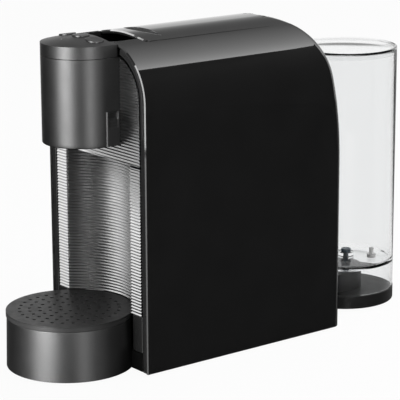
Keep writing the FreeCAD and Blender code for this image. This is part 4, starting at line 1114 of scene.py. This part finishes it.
def makeSoftbox():
    # a wide light overhead that fades inwards from both edges: with t the share of the way from the far
    # edge to the near one, least + radiance t^fade + farGlow (1 - t)^farFade
    near, far, front, back, height = (softbox[key] for key in ("near", "far", "front", "back", "height"))
    made = bpy.data.materials.new("softbox")
    tree = emptyTree(made)
    place = addNode(tree, "TexCoord")
    parts = addNode(tree, "SeparateXYZ")
    share = addNode(tree, "MapRange")
    share.inputs["From Min"].default_value = far
    share.inputs["From Max"].default_value = near
    glow = addNode(tree, "Emission")
    out = addNode(tree, "OutputMaterial")
    tree.links.new(place.outputs["Object"], parts.inputs[0])
    tree.links.new(parts.outputs["X"], share.inputs["Value"])
    t = share.outputs["Result"]
    bright = compute(tree, "MULTIPLY_ADD", compute(tree, "POWER", t, softbox["fade"]), softbox["radiance"],
                     softbox["least"])
    farShare = compute(tree, "POWER", compute(tree, "SUBTRACT", 1.0, t), softbox["farFade"])
    bright = compute(tree, "MULTIPLY_ADD", farShare, softbox["farGlow"], bright)
    tree.links.new(bright, glow.inputs["Strength"])
    tree.links.new(glow.outputs[0], out.inputs[0])
    box = addSheet("softbox", [(far, front, height), (far, back, height), (near, back, height),
                               (near, front, height)], made)
    box.visible_camera = False
    box.visible_transmission = False
    box.visible_shadow = False


def aroundFront(azimuth, distance, height):
    # a place seen from the object at an azimuth counted from the front towards +x
    turn = radians(azimuth)
    return (distance * sin(turn), -distance * cos(turn), height)


def addCard(name, middle, across, up, made):
    # a flat card that shows only in the object's gloss: across its foot from end to end, and up from there
    middle, half, up = np.array(middle), np.array(across) / 2, np.array(up)
    card = addSheet(name, [middle - half, middle + half, middle + half + up, middle - half + up], made)
    card.visible_camera = False
    card.visible_diffuse = False
    card.visible_transmission = False
    card.visible_shadow = False
    return card


makeFloor()
makeWorld()
makeSoftbox()
polishedBlack = newMaterial("polished black", grey(0.004), 0.08, specular=1.0)
cardBlack = mattBlack("card black", studio["cardTone"])
sheet = addCard("polished sheet", (0, -1.6, 0.0003), (3.2, 0, 0), (0, 3.2, 0), polishedBlack)
addCard("bay card", (-0.13, -0.86, 0.0006), (0.44, 0, 0), (0, 0.53, 0), cardBlack)
# upright cards that face the object: azimuth, distance, width and height
cards = {"left card": (-53, 0.62, 0.72, 0.3), "front card": (2, 1.02, 1.0, 1.8),
         "middle card": (43, 0.62, 0.32, 1.2), "right card": (138, 1.1, 1.1, 1.6)}
for name, (azimuth, distance, width, height) in cards.items():
    turn = radians(azimuth)
    addCard(name, aroundFront(azimuth, distance, 0), (width * cos(turn), width * sin(turn), 0),
            (0, 0, height), cardBlack)
satin = piecesOf("satin_anthracite")
glossy = piecesOf("gloss_black")
inserts = [bpy.data.objects["insert_left"], bpy.data.objects["insert_right"]]
addLamp("front strip", aroundFront(8.5, 0.95, 0.38), (0, 0, 0.38), (0.5, 0.75), 11.5,
        litGroup("front lit", satin + glossy + inserts + [sheet]))
addLamp("side strip", aroundFront(67.5, 1.07, 0.23), (0, -0.15, 0.23), (0.42, 0.45), 6.5,
        litGroup("side lit", satin + [sheet]))
addLamp("low strip", aroundFront(9.5, 0.446, 0.08), (0, -0.147, 0.08), (0.14, 0.15), 20,
        litGroup("tray lit", [bpy.data.objects["tray_body"], bpy.data.objects["plate_disc"]]))
addLamp("right glow", aroundFront(128, 0.8, 0.3), (0, -0.12, 0.2), (0.5, 0.5), 0.6,
        litGroup("right lit", satin))
leftLit = litGroup("left lit", piecesOf("ribbed_silver"))
addLamp("left softbox", aroundFront(-51, 0.58, 0.3), (0, 0, 0.3), (0.64, 0.58), 1.7, leftLit)
addLamp("left floor", aroundFront(-57, 0.42, 0.004), aroundFront(-57, 0.42, 1), (0.5, 0.6), 1.3, leftLit)
crown = (0, -0.09, 0.27)
addLamp("left high", (-0.787, -0.117, 0.886), crown, (0.5, 0.35), 6, litGroup("high lit", glossy))
addLamp("corner high", aroundFront(-26, 0.58, 1.03), crown, (0.95, 0.45), 6, litGroup("lever lit", [lever]))

camera = {"azimuth": 51.98, "elevation": 14.03, "roll": 0.24, "lens": 170.44,
          "place": (1.23152, -0.97422, 0.5074)}


def makeCamera():
    azimuth, elevation, roll = (radians(camera[key]) for key in ("azimuth", "elevation", "roll"))
    ahead = -np.array([sin(azimuth) * cos(elevation), -cos(azimuth) * cos(elevation), sin(elevation)])
    right = np.array([cos(azimuth), sin(azimuth), 0])
    down = np.cross(ahead, right)
    x = cos(roll) * right + sin(roll) * down
    y = sin(roll) * right - cos(roll) * down
    data = bpy.data.cameras.new("view")
    data.lens = camera["lens"]
    eye = addObject("view", data)
    eye.matrix_world = Matrix.Translation(camera["place"]) @ Matrix(
        [(*row, 0) for row in np.column_stack([x, y, -ahead]).tolist()] + [(0, 0, 0, 1)])
    bpy.context.scene.camera = eye


makeCamera()
bpy.context.scene.view_settings.view_transform = "Standard"
print("stage made")
